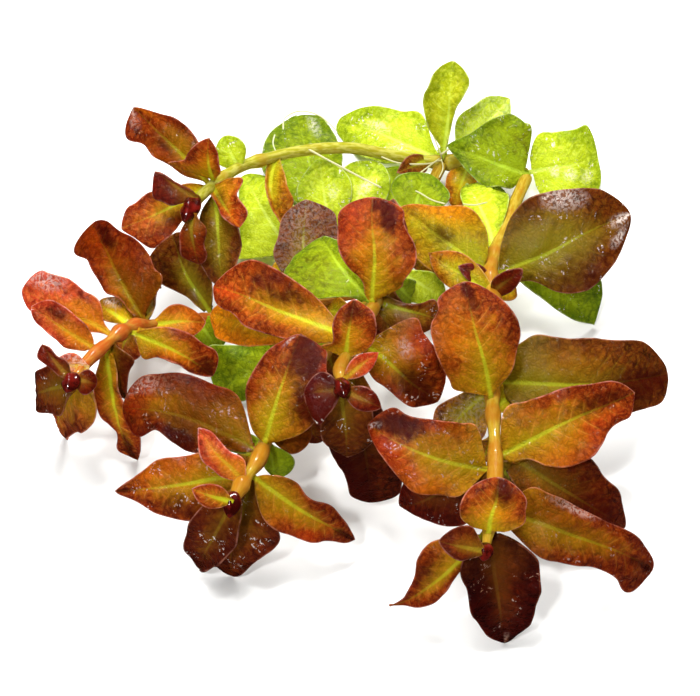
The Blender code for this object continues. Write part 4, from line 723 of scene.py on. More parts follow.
stemLines = [(name, *stemLine(spots, radii, parent)) for name, finish, spots, radii, parent in stems]
budNames = [bud[0] for bud in buds]
roots, blades, plainBlades, owners, widenings = [], [], [], [], []
for name, owner, shoot, base, tip, width, finish, form in leaves:
    end = place(tip)
    if owner in budNames:
        root = place(base), owner, 0
    else:
        root = leafRoot(base, end, stemLines, owner)
    roots.append(root)
    widenings.append(sideFactors(name, shoot, root[0], end, width, form))
    blades.append(coarseBlade(shoot, root[0], end, width, form, widenings[-1]))
    plainBlades.append(blades[-1].copy())
    owners.append(owner or name)
partTheLeaves(blades, owners, stemLines)
for name, stem, shoot, base, tip, width, finish, form in underLeaves:
    root = leafRoot(base, place(tip), stemLines, stem)
    roots.append(root)
    widenings.append([((0, 1.03), (1, 1))] * 2)
    blades.append(coarseBlade(shoot, root[0], place(tip), width, form, widenings[-1]))
    plainBlades.append(blades[-1])
allLeaves = leaves + underLeaves
print("blades laid out:", len(blades))


# fine leaves

leafMake = {
    "rowSpacing": 0.36,            # mm along the blade
    "rowCounts": (26, 96),         # fewest and most
    "evenRows": 0.55,              # share of even spacing, the rest is closer at both ends
    "columnSpacing": 0.40,         # mm across it
    "columnCounts": (10, 40),
    "evenColumns": 0.7,
    "marginThickness": 0.20,       # mm
    "bladeThickness": 0.32,
    "ribThickness": 0.75,
    "petioleThickness": 1.5,
    "petioleReach": 0.07,          # share of the length over which it thins
    "veinSpacing": 2.3,            # mm along the midrib from one side vein to the next
    "veinSlant": (0.62, 0.045),    # how far a side vein runs on per mm across, and bends further
    "veinOffset": 0.35,            # of a spacing, between left and right
    "veinWander": 0.08,
    "quilt": 0.26,                 # how far the blade rises between side veins
    "ribDepth": 0.26,
    "ribWander": 0.09,             # share of the half width
    "ripple": 0.6,                 # height of the waves in the margin
    "waves": (1.6, 2.8),           # fewest and most, along 22 mm
    "crinkle": 0.32,               # uneven rise and fall all over
    "wobble": 0.02,                # unevenness of the outline
    "slimWidth": 9,                # mm: narrower leaves wave less and have thinner petioles
    "inStem": (1.5, 0.2),          # mm that a petiole runs on into its stem, from its skin or from its middle
}
plainLook = {"ripple": 1, "rolls": [], "finish": ""}
# pale sets painted highlights; wet sets the clear film and painted glints in patches
blushes = ("dark", "coral", "green", "gold", "pale", "wet", "deep")


def catmullWeights(places, count):  # a row of weights over count knots for each place
    weights = np.zeros((len(places), count))
    for row, at in enumerate(places):
        at = min(max(at, 0), count - 1)
        k = min(int(at), count - 2)
        t = at - k
        shares = (-t + 2 * t ** 2 - t ** 3, 2 - 5 * t ** 2 + 3 * t ** 3,
                  t + 4 * t ** 2 - 3 * t ** 3, -t ** 2 + t ** 3)
        for offset, share in enumerate(shares, -1):
            weights[row, min(max(k + offset, 0), count - 1)] += 0.5 * share
    return weights


def smoothNoise(seed, x, y):  # gentle hills between -1 and 1, a unit apart
    rng = np.random.default_rng(seed)
    total = np.zeros(np.broadcast(x, y).shape)
    for _ in range(9):
        angle, phase, pitch = rng.uniform(0, math.tau), rng.uniform(0, math.tau), rng.uniform(0.6, 1.5)
        total = total + np.sin(math.tau * pitch * (x * math.cos(angle) + y * math.sin(angle)) / 2 + phase)
    return total / 4.5


def surfaceNormals(points):
    alongWay = np.gradient(points, axis=0)
    acrossWay = np.gradient(points, axis=1)
    normals = np.cross(acrossWay, alongWay)
    return normals / np.linalg.norm(normals, axis=2, keepdims=True).clip(1e-12)


def gridMesh(name, points, attributes):  # a bmesh grid laid over the points, with its attributes
    rows, columns = points.shape[:2]
    bm = bmesh.new()
    uvLayer = bm.loops.layers.uv.new("leafMap")
    bmesh.ops.create_grid(bm, x_segments=columns - 1, y_segments=rows - 1, size=1)
    order = []
    for vertex in bm.verts:
        j = round((vertex.co.x + 1) / 2 * (columns - 1))
        i = round((vertex.co.y + 1) / 2 * (rows - 1))
        order.append((i, j))
        vertex.co = points[i, j]
    for face in bm.faces:
        face.smooth = True
        for loop in face.loops:
            i, j = order[loop.vert.index]
            loop[uvLayer].uv = (j / (columns - 1), i / (rows - 1))
    mesh = bpy.data.meshes.new(name)
    bm.to_mesh(mesh)
    bm.free()
    order = np.array(order)
    for key, values in attributes.items():
        layer = mesh.attributes.new(key, "FLOAT_VECTOR", "POINT")
        layer.data.foreach_set("vector", values[order[:, 0], order[:, 1]].astype(np.float32).ravel())
    return mesh, order


def addPiece(name, mesh, material, node, slot=""):  # stands for a solid, whose part it hides, or is an added piece when slot is given
    piece = bpy.data.objects.new(name if slot else name + "_fine", mesh)
    bpy.context.scene.collection.objects.link(piece)
    mesh.materials.append(material)
    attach(piece, "root")
    if slot:
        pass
    else:
        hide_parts(node)
    return piece


def blushOf(wanted, across, along, seed):  # 0 to 1 over the blade, clouded: all over, or in the places listed
    cloud = 0.5 + 0.5 * smoothNoise(seed + 700, across * 1.3, along * 2.2)
    if not isinstance(wanted, list):
        return (wanted * (0.55 + 0.9 * cloud)).clip(0, 1) * np.ones_like(along)
    total = np.zeros_like(along)
    for amount, (x, y), reach in wanted:
        gap = np.hypot((across - x) * 0.55, along - y) / reach
        total = np.maximum(total, amount * (1.25 - gap + 0.45 * (cloud - 0.5)).clip(0, 1))
    return total.clip(0, 1)


def leafSpacing(lengthMm, width, stub):  # rows from inside the stem to the tip, and columns across
    m = leafMake
    even = np.linspace(0, 1, int(np.clip(lengthMm / m["rowSpacing"], *m["rowCounts"])))
    rows = m["evenRows"] * even + (1 - m["evenRows"]) * (1 - np.cos(math.pi * even)) / 2
    rows = np.concatenate((np.linspace(-stub / lengthMm, 0, 4, endpoint=False), rows))
    columns = np.linspace(-1, 1, int(np.clip(width / m["columnSpacing"], *m["columnCounts"])) // 2 * 2 + 1)
    away = np.abs(columns)
    away = m["evenColumns"] * away + (1 - m["evenColumns"]) * np.sin(math.pi / 2 * away)
    return rows, np.sign(columns) * away


def leafHalves(index, v, lengthMm):  # half width left and right of the midrib, a little uneven
    name, owner, shoot, base, tip, width, finish, form = allLeaves[index]
    halves = []
    for side in (0, 1):
        half = halfWidth(v, width, form) * smoothBetween(v, *widenings[index][side])
        wobble = leafMake["wobble"] * smoothNoise(7 * index + side, v * lengthMm / 5, 0 * v)
        half = half * (1 + wobble * np.sin(math.pi * v))
        halves.append(np.hypot(half, np.where(v > 0.5, 0.00004, 0.0005 * (1 - 0.4 * v))))
    return halves


def easedAs(index, v, columns):  # how far the solid's blade was moved, smoothly between its few points
    coarse, plain = blades[index], plainBlades[index]
    alongWeights = catmullWeights(np.arccos(1 - 2 * v) / math.pi * (coarse.shape[0] - 1), coarse.shape[0])
    acrossWeights = catmullWeights((columns + 1) / 2 * (coarse.shape[1] - 1), coarse.shape[1])
    return np.einsum("ri,ijk,cj->rck", alongWeights, coarse - plain, acrossWeights)


def fineLeaf(index):
    name, owner, shoot, base, tip, width, finish, form = allLeaves[index]
    m = leafMake
    look = {**plainLook, **dict.fromkeys(blushes, 0), **leafLooks.get(name, {})}
    rng = np.random.default_rng(1000 + index)
    start, end = roots[index][0], place(tip)
    lengthMm = np.linalg.norm(end - start) / mm
    slim = min(1, width / m["slimWidth"])
    rows, columns = leafSpacing(lengthMm, width, m["inStem"][1 if owner else 0])
    v = rows.clip(0, 1)
    halves = leafHalves(index, v, lengthMm)
    acrossAt, along = columns[None, :], v[:, None]
    half = np.where(acrossAt < 0, halves[0][:, None], halves[1][:, None])
    points = bladePoints(shoot, start, end, form, rows.clip(-1, 1), columns, halves)
    points += easedAs(index, v, columns)
    # veins: acrossMm and b are mm across and along, a is mm from the midrib
    u = np.abs(acrossAt)
    acrossMm = acrossAt * half / mm
    ribWander = m["ribWander"] * smoothNoise(index + 800, v * 1.6, 0 * v) * np.sin(math.pi * v) * width / 2
    signedA = acrossMm - ribWander[:, None]
    a = np.abs(signedA)
    b = (rows * lengthMm)[:, None] + 0 * a
    slant, bend = m["veinSlant"]
    veins = ((b - slant * a - bend * a ** 2) / (m["veinSpacing"] * np.clip(lengthMm / 24, 0.6, 1.2))
             + np.where(acrossAt < 0, 0.0, m["veinOffset"])
             + m["veinWander"] * smoothNoise(index + 50, a / 3, b / 3))
    # relief
    bodyShare = np.sin(math.pi * v ** 0.8)[:, None].clip(0) ** 0.6
    pillow = np.abs(np.sin(math.pi * veins)) ** 0.6 - 0.6
    height = m["quilt"] * pillow * bodyShare * (1 - u ** 4) * (1 - np.exp(-(a / 0.8) ** 2))
    height -= m["ribDepth"] * np.exp(-(a / 0.5) ** 2) * (1 - 0.6 * along) * (along > 0.02)
    for share, seed, pitch in ((1, 200, 4.5), (0.4, 300, 1.8)):
        height += share * m["crinkle"] * smoothNoise(index + seed, acrossMm / pitch, b / pitch) * bodyShare
    waves = rng.uniform(*m["waves"]) * lengthMm / 22
    phase = rng.uniform(0, math.tau, 2)
    drift = np.where(acrossAt < 0, *phase) + 0.8 * smoothNoise(index + 400, along * 2, 0 * along)
    ripple = np.sin(math.tau * waves * along + drift)
    height += m["ripple"] * look["ripple"] * slim * ripple * u ** 3 * bodyShare
    for side, low, high, lift in look["rolls"]:  # a margin rolled up or down between two shares of the length
        reach = np.exp(-(((v - (low + high) / 2) / (high - low) * 1.6) ** 4))[:, None]
        height += lift * reach * ((acrossAt * (2 * side - 1)).clip(0) ** 4)
    points += surfaceNormals(points) * (height * mm)[..., None]
    # what the colours follow
    margin = np.minimum((1 - u) * half / mm + 0 * b, (1 - along) * lengthMm * 0.8)
    shape = margin.shape
    spread = [np.broadcast_to(values, shape) for values in (acrossAt, along, float(index), half / mm)]
    signed, alongAll, seed, halfMm = spread
    blush = {key: blushOf(look[key], signed, alongAll, index + 90 * k) for k, key in enumerate(blushes)}
    # leafGleam carries pale, the painted highlights; leafVein carries wet, which also sets painted glints
    stored = {
        "leafPlace": (signed, alongAll, seed),
        "leafSize": (signedA, b, margin),
        "leafVein": (veins, halfMm, blush["wet"]),
        "leafBlush": (blush["dark"], blush["coral"], blush["green"]),
        "leafGleam": (blush["gold"], blush["pale"], blush["deep"]),
    }
    mesh, order = gridMesh(name, points, {key: np.stack(values, axis=-1) for key, values in stored.items()})
    slot = leafSlots[finish] if index >= len(leaves) else ""
    piece = addPiece(name, mesh, materials[look["finish"] or finish], owner or name, slot)
    # wall: thick petiole and rib, thin margin
    thick = m["marginThickness"] + (m["bladeThickness"] - m["marginThickness"]) * (1 - u ** 3)
    ribExtra = m["ribThickness"] - m["bladeThickness"]
    thick = thick + ribExtra * np.exp(-(a / 0.45) ** 2) * (1 - 0.75 * along)
    atBase = np.exp(-(along / m["petioleReach"]) ** 2)
    thick = thick + (m["petioleThickness"] * slim - thick) * atBase
    thickest = float(thick.max())
    group = piece.vertex_groups.new(name="wall")
    for k, share in enumerate((thick / thickest)[order[:, 0], order[:, 1]]):
        group.add([k], float(share), "REPLACE")
    wall = piece.modifiers.new("Wall", "SOLIDIFY")
    wall.thickness = thickest * mm
    wall.offset = -0.6
    wall.vertex_group = "wall"
    wall.use_rim = True


# materials

def linear(hexCode):  # an sRGB hex value as linear red, green, blue and alpha
    channels = [int(hexCode[k:k + 2], 16) / 255 for k in (0, 2, 4)]
    return (*[c / 12.92 if c <= 0.04045 else ((c + 0.055) / 1.055) ** 2.4 for c in channels], 1)


smoothstep, flat = {"interpolation_type": "SMOOTHSTEP"}, {"noise_dimensions": "2D"}
nodeKinds = {  # type, output that is used, settings, and inputs in order with what they hold if not given
    "times": ("ShaderNodeMath", 0, {"operation": "MULTIPLY"}, {0: None, 1: None}),
    "plus": ("ShaderNodeMath", 0, {"operation": "ADD"}, {0: None, 1: None}),
    "minus": ("ShaderNodeMath", 0, {"operation": "SUBTRACT"}, {0: None, 1: None}),
    "over": ("ShaderNodeMath", 0, {"operation": "DIVIDE"}, {0: None, 1: None}),
    "size": ("ShaderNodeMath", 0, {"operation": "ABSOLUTE"}, {0: None}),
    "pingPong": ("ShaderNodeMath", 0, {"operation": "PINGPONG"}, {0: None, 1: None}),
    "ramp": ("ShaderNodeMapRange", 0, smoothstep, {0: None, 1: None, 2: None, 3: 0.0, 4: 1.0}),
    "straight": ("ShaderNodeMapRange", 0, {}, {0: None, 1: 0.0, 2: 1.0, 3: None, 4: None}),
    "mix": ("ShaderNodeMix", 2, {"data_type": "RGBA"}, {0: None, 6: None, 7: None}),
    "noise": ("ShaderNodeTexNoise", "Fac", flat,
              {"Vector": None, "Scale": None, "Detail": 3.0, "Roughness": 0.55}),
    "wander": ("ShaderNodeTexNoise", "Color", flat, {"Vector": None, "Scale": None, "Detail": None}),
    "cloud": ("ShaderNodeTexNoise", "Fac", {}, {"Vector": None, "Scale": None, "Detail": None}),
    "cells": ("ShaderNodeTexVoronoi", "Distance", {"feature": "DISTANCE_TO_EDGE", "voronoi_dimensions": "2D"},
              {"Vector": None, "Scale": None}),
    "stored": ("ShaderNodeAttribute", "Vector", {}, {}),
    "object": ("ShaderNodeTexCoord", "Object", {}, {}),
    "split": ("ShaderNodeSeparateXYZ", None, {}, {0: None}),
    "join": ("ShaderNodeCombineXYZ", 0, {}, {0: None, 1: None}),
    "shift": ("ShaderNodeVectorMath", 0, {"operation": "MULTIPLY_ADD"}, {0: None, 1: None, 2: None}),
    "bump": ("ShaderNodeBump", 0, {}, {"Strength": None, "Distance": None, "Height": None}),
    "lively": ("ShaderNodeHueSaturation", 0, {}, {"Saturation": None, "Value": None, "Color": None}),
    "skin": ("ShaderNodeBsdfPrincipled", 0, {}, {}),
    "through": ("ShaderNodeBsdfTranslucent", 0, {}, {"Color": None, "Normal": None}),
    "both": ("ShaderNodeMixShader", 0, {}, {0: None, 1: None, 2: None}),
    "surface": ("ShaderNodeOutputMaterial", None, {}, {"Surface": None}),
}


def addNode(tree, kind, *values, named=None, **settings):  # values and sockets in order or named
    nodeType, output, fixed, inputs = nodeKinds[kind]
    node = tree.nodes.new(nodeType)
    for key, value in {**fixed, **settings}.items():
        setattr(node, key, value)
    for key, value in {**inputs, **dict(zip(inputs, values)), **(named or {})}.items():
        if isinstance(value, bpy.types.NodeSocket):
            tree.links.new(value, node.inputs[key])
        elif value is not None:
            node.inputs[key].default_value = value
    result = node.outputs if output is None else node.outputs[output]
    rest = values[len(inputs):]  # such as a third factor, in a node of its own
    return addNode(tree, kind, result, *rest) if rest else result


def newMaterial(name):  # with a short way to add nodes to it
    material = bpy.data.materials.new(name)
    material.use_nodes = True
    material.node_tree.nodes.clear()
    return material, partial(addNode, material.node_tree)


# wet living leaf: a thin green or red blade with water on it, so light glows through and a clear film shines;
# white highlights and glints are also painted into its colour, and a pale margin line carries painted glow
leafFinishes = {
    "lime": {"field": "c4d01a", "middle": "d2de2e", "dark": "748c08", "cell": "e6f064", "edge": "a4b812",
             "rim": "f0f4b4", "rib": "e2f070", "side": "dcec68", "base": "c8d628", "through": 0.3},
    "green": {"field": "8e9e0c", "middle": "9eae12", "dark": "42580a", "cell": "b2c024", "edge": "708a0a",
              "rim": "dce49c", "rib": "c0d83c", "side": "acc032", "base": "a0b41a", "through": 0.3},
    "olive": {"field": "bc8c0c", "middle": "b4a410", "dark": "522c04", "cell": "d8ac20", "edge": "b85a12",
              "rim": "f4c080", "rib": "c8cc2c", "side": "c8b030", "base": "a4a414", "through": 0.3},
    "brown": {"field": "783a0a", "middle": "86600c", "dark": "2c1003", "cell": "9c6418", "edge": "70300c",
              "rim": "dca080", "rib": "b4bc28", "side": "987c20", "base": "948c14", "through": 0.25},
    "umber": {"field": "742608", "middle": "84480a", "dark": "240702", "cell": "9c4c14", "edge": "581606",
              "rim": "cc8870", "rib": "a08820", "side": "905a1a", "base": "8c6c12", "through": 0.25},
    "rust": {"field": "b04c0a", "middle": "be800c", "dark": "4a1004", "cell": "e88030", "edge": "8a2608",
             "rim": "f4ac90", "rib": "ccd42c", "side": "e8a83c", "base": "bca80e", "through": 0.3},
    "coral": {"field": "cc5228", "middle": "d4801c", "dark": "6c180a", "cell": "f48c48", "edge": "bc3820",
              "rim": "ffccb8", "rib": "d8b42c", "side": "e8a050", "base": "d89c1a", "through": 0.3},
    "maroon": {"field": "5c1406", "middle": "723008", "dark": "1c0302", "cell": "862c0c", "edge": "6c1406",
               "rim": "d48c74", "rib": "906820", "side": "884416", "base": "885c12", "through": 0.2},
}
leafSurface = {
    "apart": 37.0,                 # mm in the pattern from one leaf to the next
    "warp": 1.7,                   # mm that the pattern wanders
    "netPitch": 1.5,               # mm across one mesh of the vein network
    "finePitch": 0.8,              # mm across one mesh of the finest veins
    "blotchPitch": 3.4,            # mm from one darker blotch to the next
    "ribWidth": (0.95, 0.14),      # mm at the base and at the tip
    "sideWidth": 0.10,             # mm, side veins
    "rimWidth": 0.20,              # mm, the pale line along the margin: a paler edge, with painted glow of light through the thin margin
    "edgeBand": 2.6,               # mm, the darker band inside the margin
    "roughness": (0.42, 0.6),
    "glow": (1.15, 1.5),           # saturation and strength of the light that comes through
    "filmRoughness": 0.055,        # the water on it
    # pale is the colour of the painted highlights and glints
    "blush": {"dark": "460a03", "coral": "de4416", "gold": "f08c08", "pale": "f4e8de", "deep": "a8765c"},
}


def leafMaterial(name, finish):
    material, add = newMaterial(name)
    s = leafSurface
    u, v, seed = add("split", add("stored", attribute_name="leafPlace"))
    a, b, margin = add("split", add("stored", attribute_name="leafSize"))
    veinCount, halfMm, wet = add("split", add("stored", attribute_name="leafVein"))
    dark, coral, green = add("split", add("stored", attribute_name="leafBlush"))
    gold, pale, deep = add("split", add("stored", attribute_name="leafGleam"))
    where = add("join", add("plus", a, add("times", seed, s["apart"])), b)
    warped = add("shift", add("wander", where, 0.4, 2.0), (s["warp"], s["warp"], 0.0), where)
    blotch = add("noise", warped, 2 / s["blotchPitch"], 4.0, 0.6)
    patch = add("noise", where, 0.9 / s["blotchPitch"], 2.0)
    grain = add("noise", where, 3.2, 3.0, 0.6)
    netDepth = add("ramp", add("noise", where, 0.35, 2.0), 0.35, 0.62, 0.35, 1.0)
    mesh = add("cells", warped, 1 / s["netPitch"])
    netLine = add("times", add("ramp", mesh, 0.0, 0.3, 1.0, 0.0), netDepth)
    clear = add("ramp", mesh, 0.08, 0.34)
    island = add("times", clear, add("ramp", add("noise", where, 0.5, 2.0), 0.35, 0.62, 0.25, 1.0))
    fineLine = add("ramp", add("cells", warped, 1 / s["finePitch"]), 0.0, 0.35, 1.0, 0.0)
    absU = add("size", u)
    outer = add("times", add("ramp", absU, 0.15, 1.0), 0.6)
    outer = add("plus", outer, add("times", add("ramp", v, 0.35, 1.0), 0.7))
    outer = add("plus", outer, add("times", add("minus", patch, 0.5), 1.2), use_clamp=True)
    # side veins and midrib
    sideMm = add("times", add("pingPong", veinCount, 0.5), leafMake["veinSpacing"] * 0.8)
    reach = add("times", add("ramp", absU, 0.35, 0.85, 1.0, 0.0), add("ramp", v, 0.05, 0.2),
                add("ramp", v, 0.55, 0.9, 1.0, 0.2),
                add("ramp", add("noise", where, 0.6, 2.0), 0.4, 0.6, 0.25, 1.0))
    sideLine = add("times", add("ramp", sideMm, s["sideWidth"] * 0.4, s["sideWidth"] * 1.7, 1.0, 0.0), reach)
    sideHalo = add("times", add("ramp", sideMm, 0.05, 0.75, 1.0, 0.0), reach)
    ribEdge = add("straight", v, 0.0, 1.0, s["ribWidth"][0] / 2, s["ribWidth"][1] / 2)
    absA = add("size", a)
    ribLine = add("times", add("ramp", add("over", absA, ribEdge), 0.45, 1.6, 1.0, 0.0),
                  add("ramp", v, 0.3, 0.82, 1.0, 0.12))
    ribHalo = add("times", add("ramp", add("over", absA, add("plus", halfMm, 0.3)), 0.02, 0.42, 1.0, 0.0),
                  add("ramp", v, 0.1, 0.75, 1.0, 0.0))
    baseShare = add("plus", add("times", add("ramp", v, 0.02, 0.4, 1.0, 0.0), 0.75), green, use_clamp=True)
    ragged = add("plus", margin, add("times", blotch, 2.4))
    edgeBand = add("times", add("ramp", ragged, 1.0, s["edgeBand"] + 1.2, 1.0, 0.0), add("ramp", v, 0.1, 0.5))
    # a pale line along the margin: a paler edge colour, with painted glow of light through the thin margin
    rimWithPaintedGlow = add("times", add("ramp", margin, s["rimWidth"] * 0.5, s["rimWidth"] * 1.6, 1.0, 0.0),
                  add("ramp", v, 0.03, 0.12),
                  add("ramp", add("noise", where, 0.5, 2.0), 0.38, 0.6, 0.25, 1.0))
    hue = {key: linear(value) for key, value in finish.items() if key != "through"}
    tint = {key: linear(value) for key, value in s["blush"].items()}
    colour = add("mix", add("ramp", outer, 0.05, 0.55), hue["middle"], hue["field"])
    colour = add("mix", add("times", add("ramp", outer, 0.45, 1.0), 0.8), colour, hue["edge"])
    darkShare = add("times", add("ramp", blotch, 0.42, 0.7), add("ramp", outer, 0.1, 1.0, 0.12, 0.85))
    colour = add("mix", darkShare, colour, hue["dark"])
    colour = add("mix", add("times", island, add("ramp", outer, 0.2, 1.0, 0.42, 0.3)), colour, hue["cell"])
    colour = add("mix", add("times", edgeBand, 0.4), colour, hue["edge"])
    colour = add("mix", add("times", gold, 0.85), colour, tint["gold"])
    colour = add("mix", add("times", coral, 0.8), colour, tint["coral"])
    colour = add("mix", add("times", baseShare, 0.72), colour, hue["base"])
    colour = add("mix", add("times", netLine, add("ramp", outer, 0.0, 0.8, 0.12, 0.38)), colour, hue["dark"])
    colour = add("mix", add("times", fineLine, 0.2), colour, hue["dark"])
    colour = add("mix", add("times", add("ramp", grain, 0.52, 0.72), 0.3), colour, hue["cell"])
    darkest = add("plus", dark, add("times", add("minus", blotch, 0.5), 0.8))
    colour = add("mix", add("ramp", darkest, 0.1, 0.85, 0.0, 0.88), colour, tint["dark"])
    spared = add("ramp", dark, 0.1, 0.8, 1.0, 0.2)
    colour = add("mix", add("times", ribHalo, 0.7, spared), colour, hue["base"])
    colour = add("mix", add("times", sideHalo, 0.12, spared), colour, hue["side"])
    colour = add("mix", add("times", sideLine, 0.45, spared), colour, hue["side"])
    colour = add("mix", add("times", ribLine, 0.8, spared), colour, hue["rib"])
    # painted highlights: where pale is set, a milky white wet gleam with white glints is painted into the
    # colour
    paintedGlintNoise = add("noise", warped, 1.5, 3.0, 0.65)
    colour = add("mix", add("times", pale, add("ramp", paintedGlintNoise, 0.42, 0.56, 0.12, 0.95)), colour, tint["pale"])
    # painted glints: on wet leaves, white specks painted into the colour in patches
    paintedGlintPatch = add("times", wet, add("ramp", add("noise", where, 0.28, 1.0), 0.6, 0.68))
    colour = add("mix", add("times", paintedGlintPatch, add("ramp", paintedGlintNoise, 0.6, 0.66, 0.0, 0.9)), colour, tint["pale"])
    # the pale margin line, partly painted glow
    colour = add("mix", add("times", rimWithPaintedGlow, 0.38), colour, hue["rim"])
    colour = add("mix", deep, colour, tint["deep"], blend_type="MULTIPLY")
    # surface
    film = add("noise", where, 0.55, 2.0, 0.6)
    relief = add("minus", add("times", grain, 0.5), add("times", fineLine, 0.5))
    bump = add("bump", 0.6, 0.0002, relief)
    wetHeight = add("plus", film, add("times", add("noise", where, 1.9, 2.0), 0.4))
    wetBump = add("bump", 0.9, 0.0006, wetHeight)
    skin = add("skin", named={
        "Base Color": colour, "Roughness": add("ramp", grain, 0.3, 0.7, *s["roughness"]), "Normal": bump,
        "IOR": 1.38, "Specular IOR Level": 0.06,
        "Coat Weight": add("ramp", add("plus", film, add("times", wet, 0.1)), 0.46, 0.58, 0.15, 1.0),
        "Coat Roughness": s["filmRoughness"], "Coat IOR": 1.4, "Coat Normal": wetBump})
    glow = add("lively", s["glow"][0], s["glow"][1], colour)
    add("surface", add("both", finish["through"], skin, add("through", glow, bump)))
    return material


# stem skin: smooth, wet and slightly clear, with faint streaks along it and a blush at each joint
stemFinishes = {
    "greenStem": {"field": "b0ac24", "pale": "d4d060", "blush": "b89420", "streak": "8c8818"},
    "stem": {"field": "b8921c", "pale": "ccb03c", "blush": "b86c18", "streak": "8c6c12"},
    "redStem": {"field": "c07424", "pale": "d0a444", "blush": "c0501c", "streak": "984616"},
}


def stemMaterial(name, finish):
    material, add = newMaterial(name)
    hue = {key: linear(value) for key, value in finish.items()}
    around, along, joint = add("split", add("stored", attribute_name="stemPlace"))
    streak = add("cloud", add("join", add("times", around, 3.0), add("times", along, 0.16)), 2.2, 4.0)
    soft = add("cloud", add("object"), 240.0, 3.0)
    colour = add("mix", add("ramp", streak, 0.4, 0.62), hue["field"], hue["pale"])
    colour = add("mix", add("times", add("ramp", streak, 0.58, 0.74), 0.4), colour, hue["streak"])
    colour = add("mix", add("times", add("ramp", soft, 0.5, 0.7), 0.35), colour, hue["blush"])
    colour = add("mix", add("times", joint, 0.7), colour, hue["blush"])
    bump = add("bump", 0.4, 0.0002, streak)
    skin = add("skin", named={
        "Base Color": colour, "Roughness": add("ramp", soft, 0.3, 0.7, 0.28, 0.42), "Normal": bump,
        "IOR": 1.42, "Specular IOR Level": 0.25, "Coat Weight": 0.6, "Coat Roughness": 0.07})
    through = add("through", add("mix", 1.0, colour, (0.9, 0.8, 0.45, 1), blend_type="MULTIPLY"))
    add("surface", add("both", 0.3, skin, through))
    return material


# young closed leaves: almost black red under a film of water
def budMaterial():
    material, add = newMaterial("youngLeafBud")
    cloud = add("cloud", add("object"), 500.0, 4.0)
    colour = add("mix", add("ramp", cloud, 0.4, 0.65), linear("2e0503"), linear("641008"))
    bump = add("bump", 0.6, 0.0002, cloud)
    skin = add("skin", named={
        "Base Color": colour, "Roughness": add("ramp", cloud, 0.3, 0.7, 0.2, 0.38), "Normal": bump,
        "IOR": 1.42, "Specular IOR Level": 0.15, "Coat Weight": 1.0, "Coat Roughness": 0.04})
    add("surface", skin)
    return material


# fine water roots: pale, almost clear threads
def rootMaterial():
    material, add = newMaterial("paleRoot")
    cloud = add("cloud", add("object"), 300.0, 2.0)
    colour = add("mix", cloud, linear("efe9c8"), linear("d6d59a"))
    skin = add("skin", named={"Base Color": colour, "Roughness": add("ramp", cloud, 0.3, 0.7, 0.3, 0.5)})
    add("surface", add("both", 0.4, skin, add("through", colour)))
    return material


materials = {key: leafMaterial(key + "Leaf", finish) for key, finish in leafFinishes.items()}
materials.update({key: stemMaterial(key + "Skin", finish) for key, finish in stemFinishes.items()})
materials["bud"] = budMaterial()
materials["root"] = rootMaterial()
print("materials made:", len(materials))


for index in range(len(allLeaves)):
    fineLeaf(index)
print("leaves made:", len(allLeaves))


# stems: tubes, swollen at each joint where leaves leave them

stemMake = {
    "spacing": 0.7,                # mm between rings
    "sides": 20,
    "swelling": 0.28,              # at a joint, as a share of the radius
    "swellingReach": 1.7,          # mm
    "jointReach": 1.6,             # mm that the blush of a joint reaches
    "unevenness": 0.035,
    "endReach": 0.0012,            # m over which an end rounds off
    "intoBud": 0.35,               # share of its bud that a stem runs into
    "budNeck": 0.62,               # share of the radius there
    "neckLength": 0.004,
}


def tubeMesh(name, line, radii, sides, joints=()):  # a tube of rings, with how near a joint each of them is
    tangents = np.gradient(line, axis=0)
    tangents /= np.linalg.norm(tangents, axis=1, keepdims=True)
    acrossWay = np.empty_like(line)
    acrossWay[0] = unit(np.cross(tangents[0], (0.1, 0.2, 1.0)))
    for k in range(1, len(line)):
        carried = acrossWay[k - 1] - tangents[k] * acrossWay[k - 1].dot(tangents[k])
        acrossWay[k] = unit(carried)
    upward = np.cross(tangents, acrossWay)
    angles = np.linspace(0, math.tau, sides + 1)
    ring = (acrossWay[:, None] * np.cos(angles)[None, :, None]
            + upward[:, None] * np.sin(angles)[None, :, None])
    points = line[:, None] + ring * radii[:, None, None]
    run = lengthsAlong(line) / mm
    joint = np.zeros(len(line))
    for at in joints:
        joint = np.maximum(joint, np.exp(-((run - at) / stemMake["jointReach"]) ** 2))
    around = np.abs(angles - math.pi)[None, :] / math.pi  # up one side and down the other, so without a seam
    stored = [np.broadcast_to(values, points.shape[:2]) for values in (around, run[:, None], joint[:, None])]
    mesh, _ = gridMesh(name, points, {"stemPlace": np.stack(stored, axis=-1)})
    bm = bmesh.new()
    bm.from_mesh(mesh)
    bmesh.ops.remove_doubles(bm, verts=bm.verts, dist=0.000002)
    bmesh.ops.recalc_face_normals(bm, faces=bm.faces)
    bm.to_mesh(mesh)
    bm.free()
    return mesh


def roundEnds(radii, line, reach):  # shrinks both ends to a point over a short way, as a rounded cap
    run = lengthsAlong(line)
    gap = np.minimum(run, run[-1] - run)
    return radii * np.sqrt(1 - (1 - (gap / reach).clip(0, 1)) ** 2)


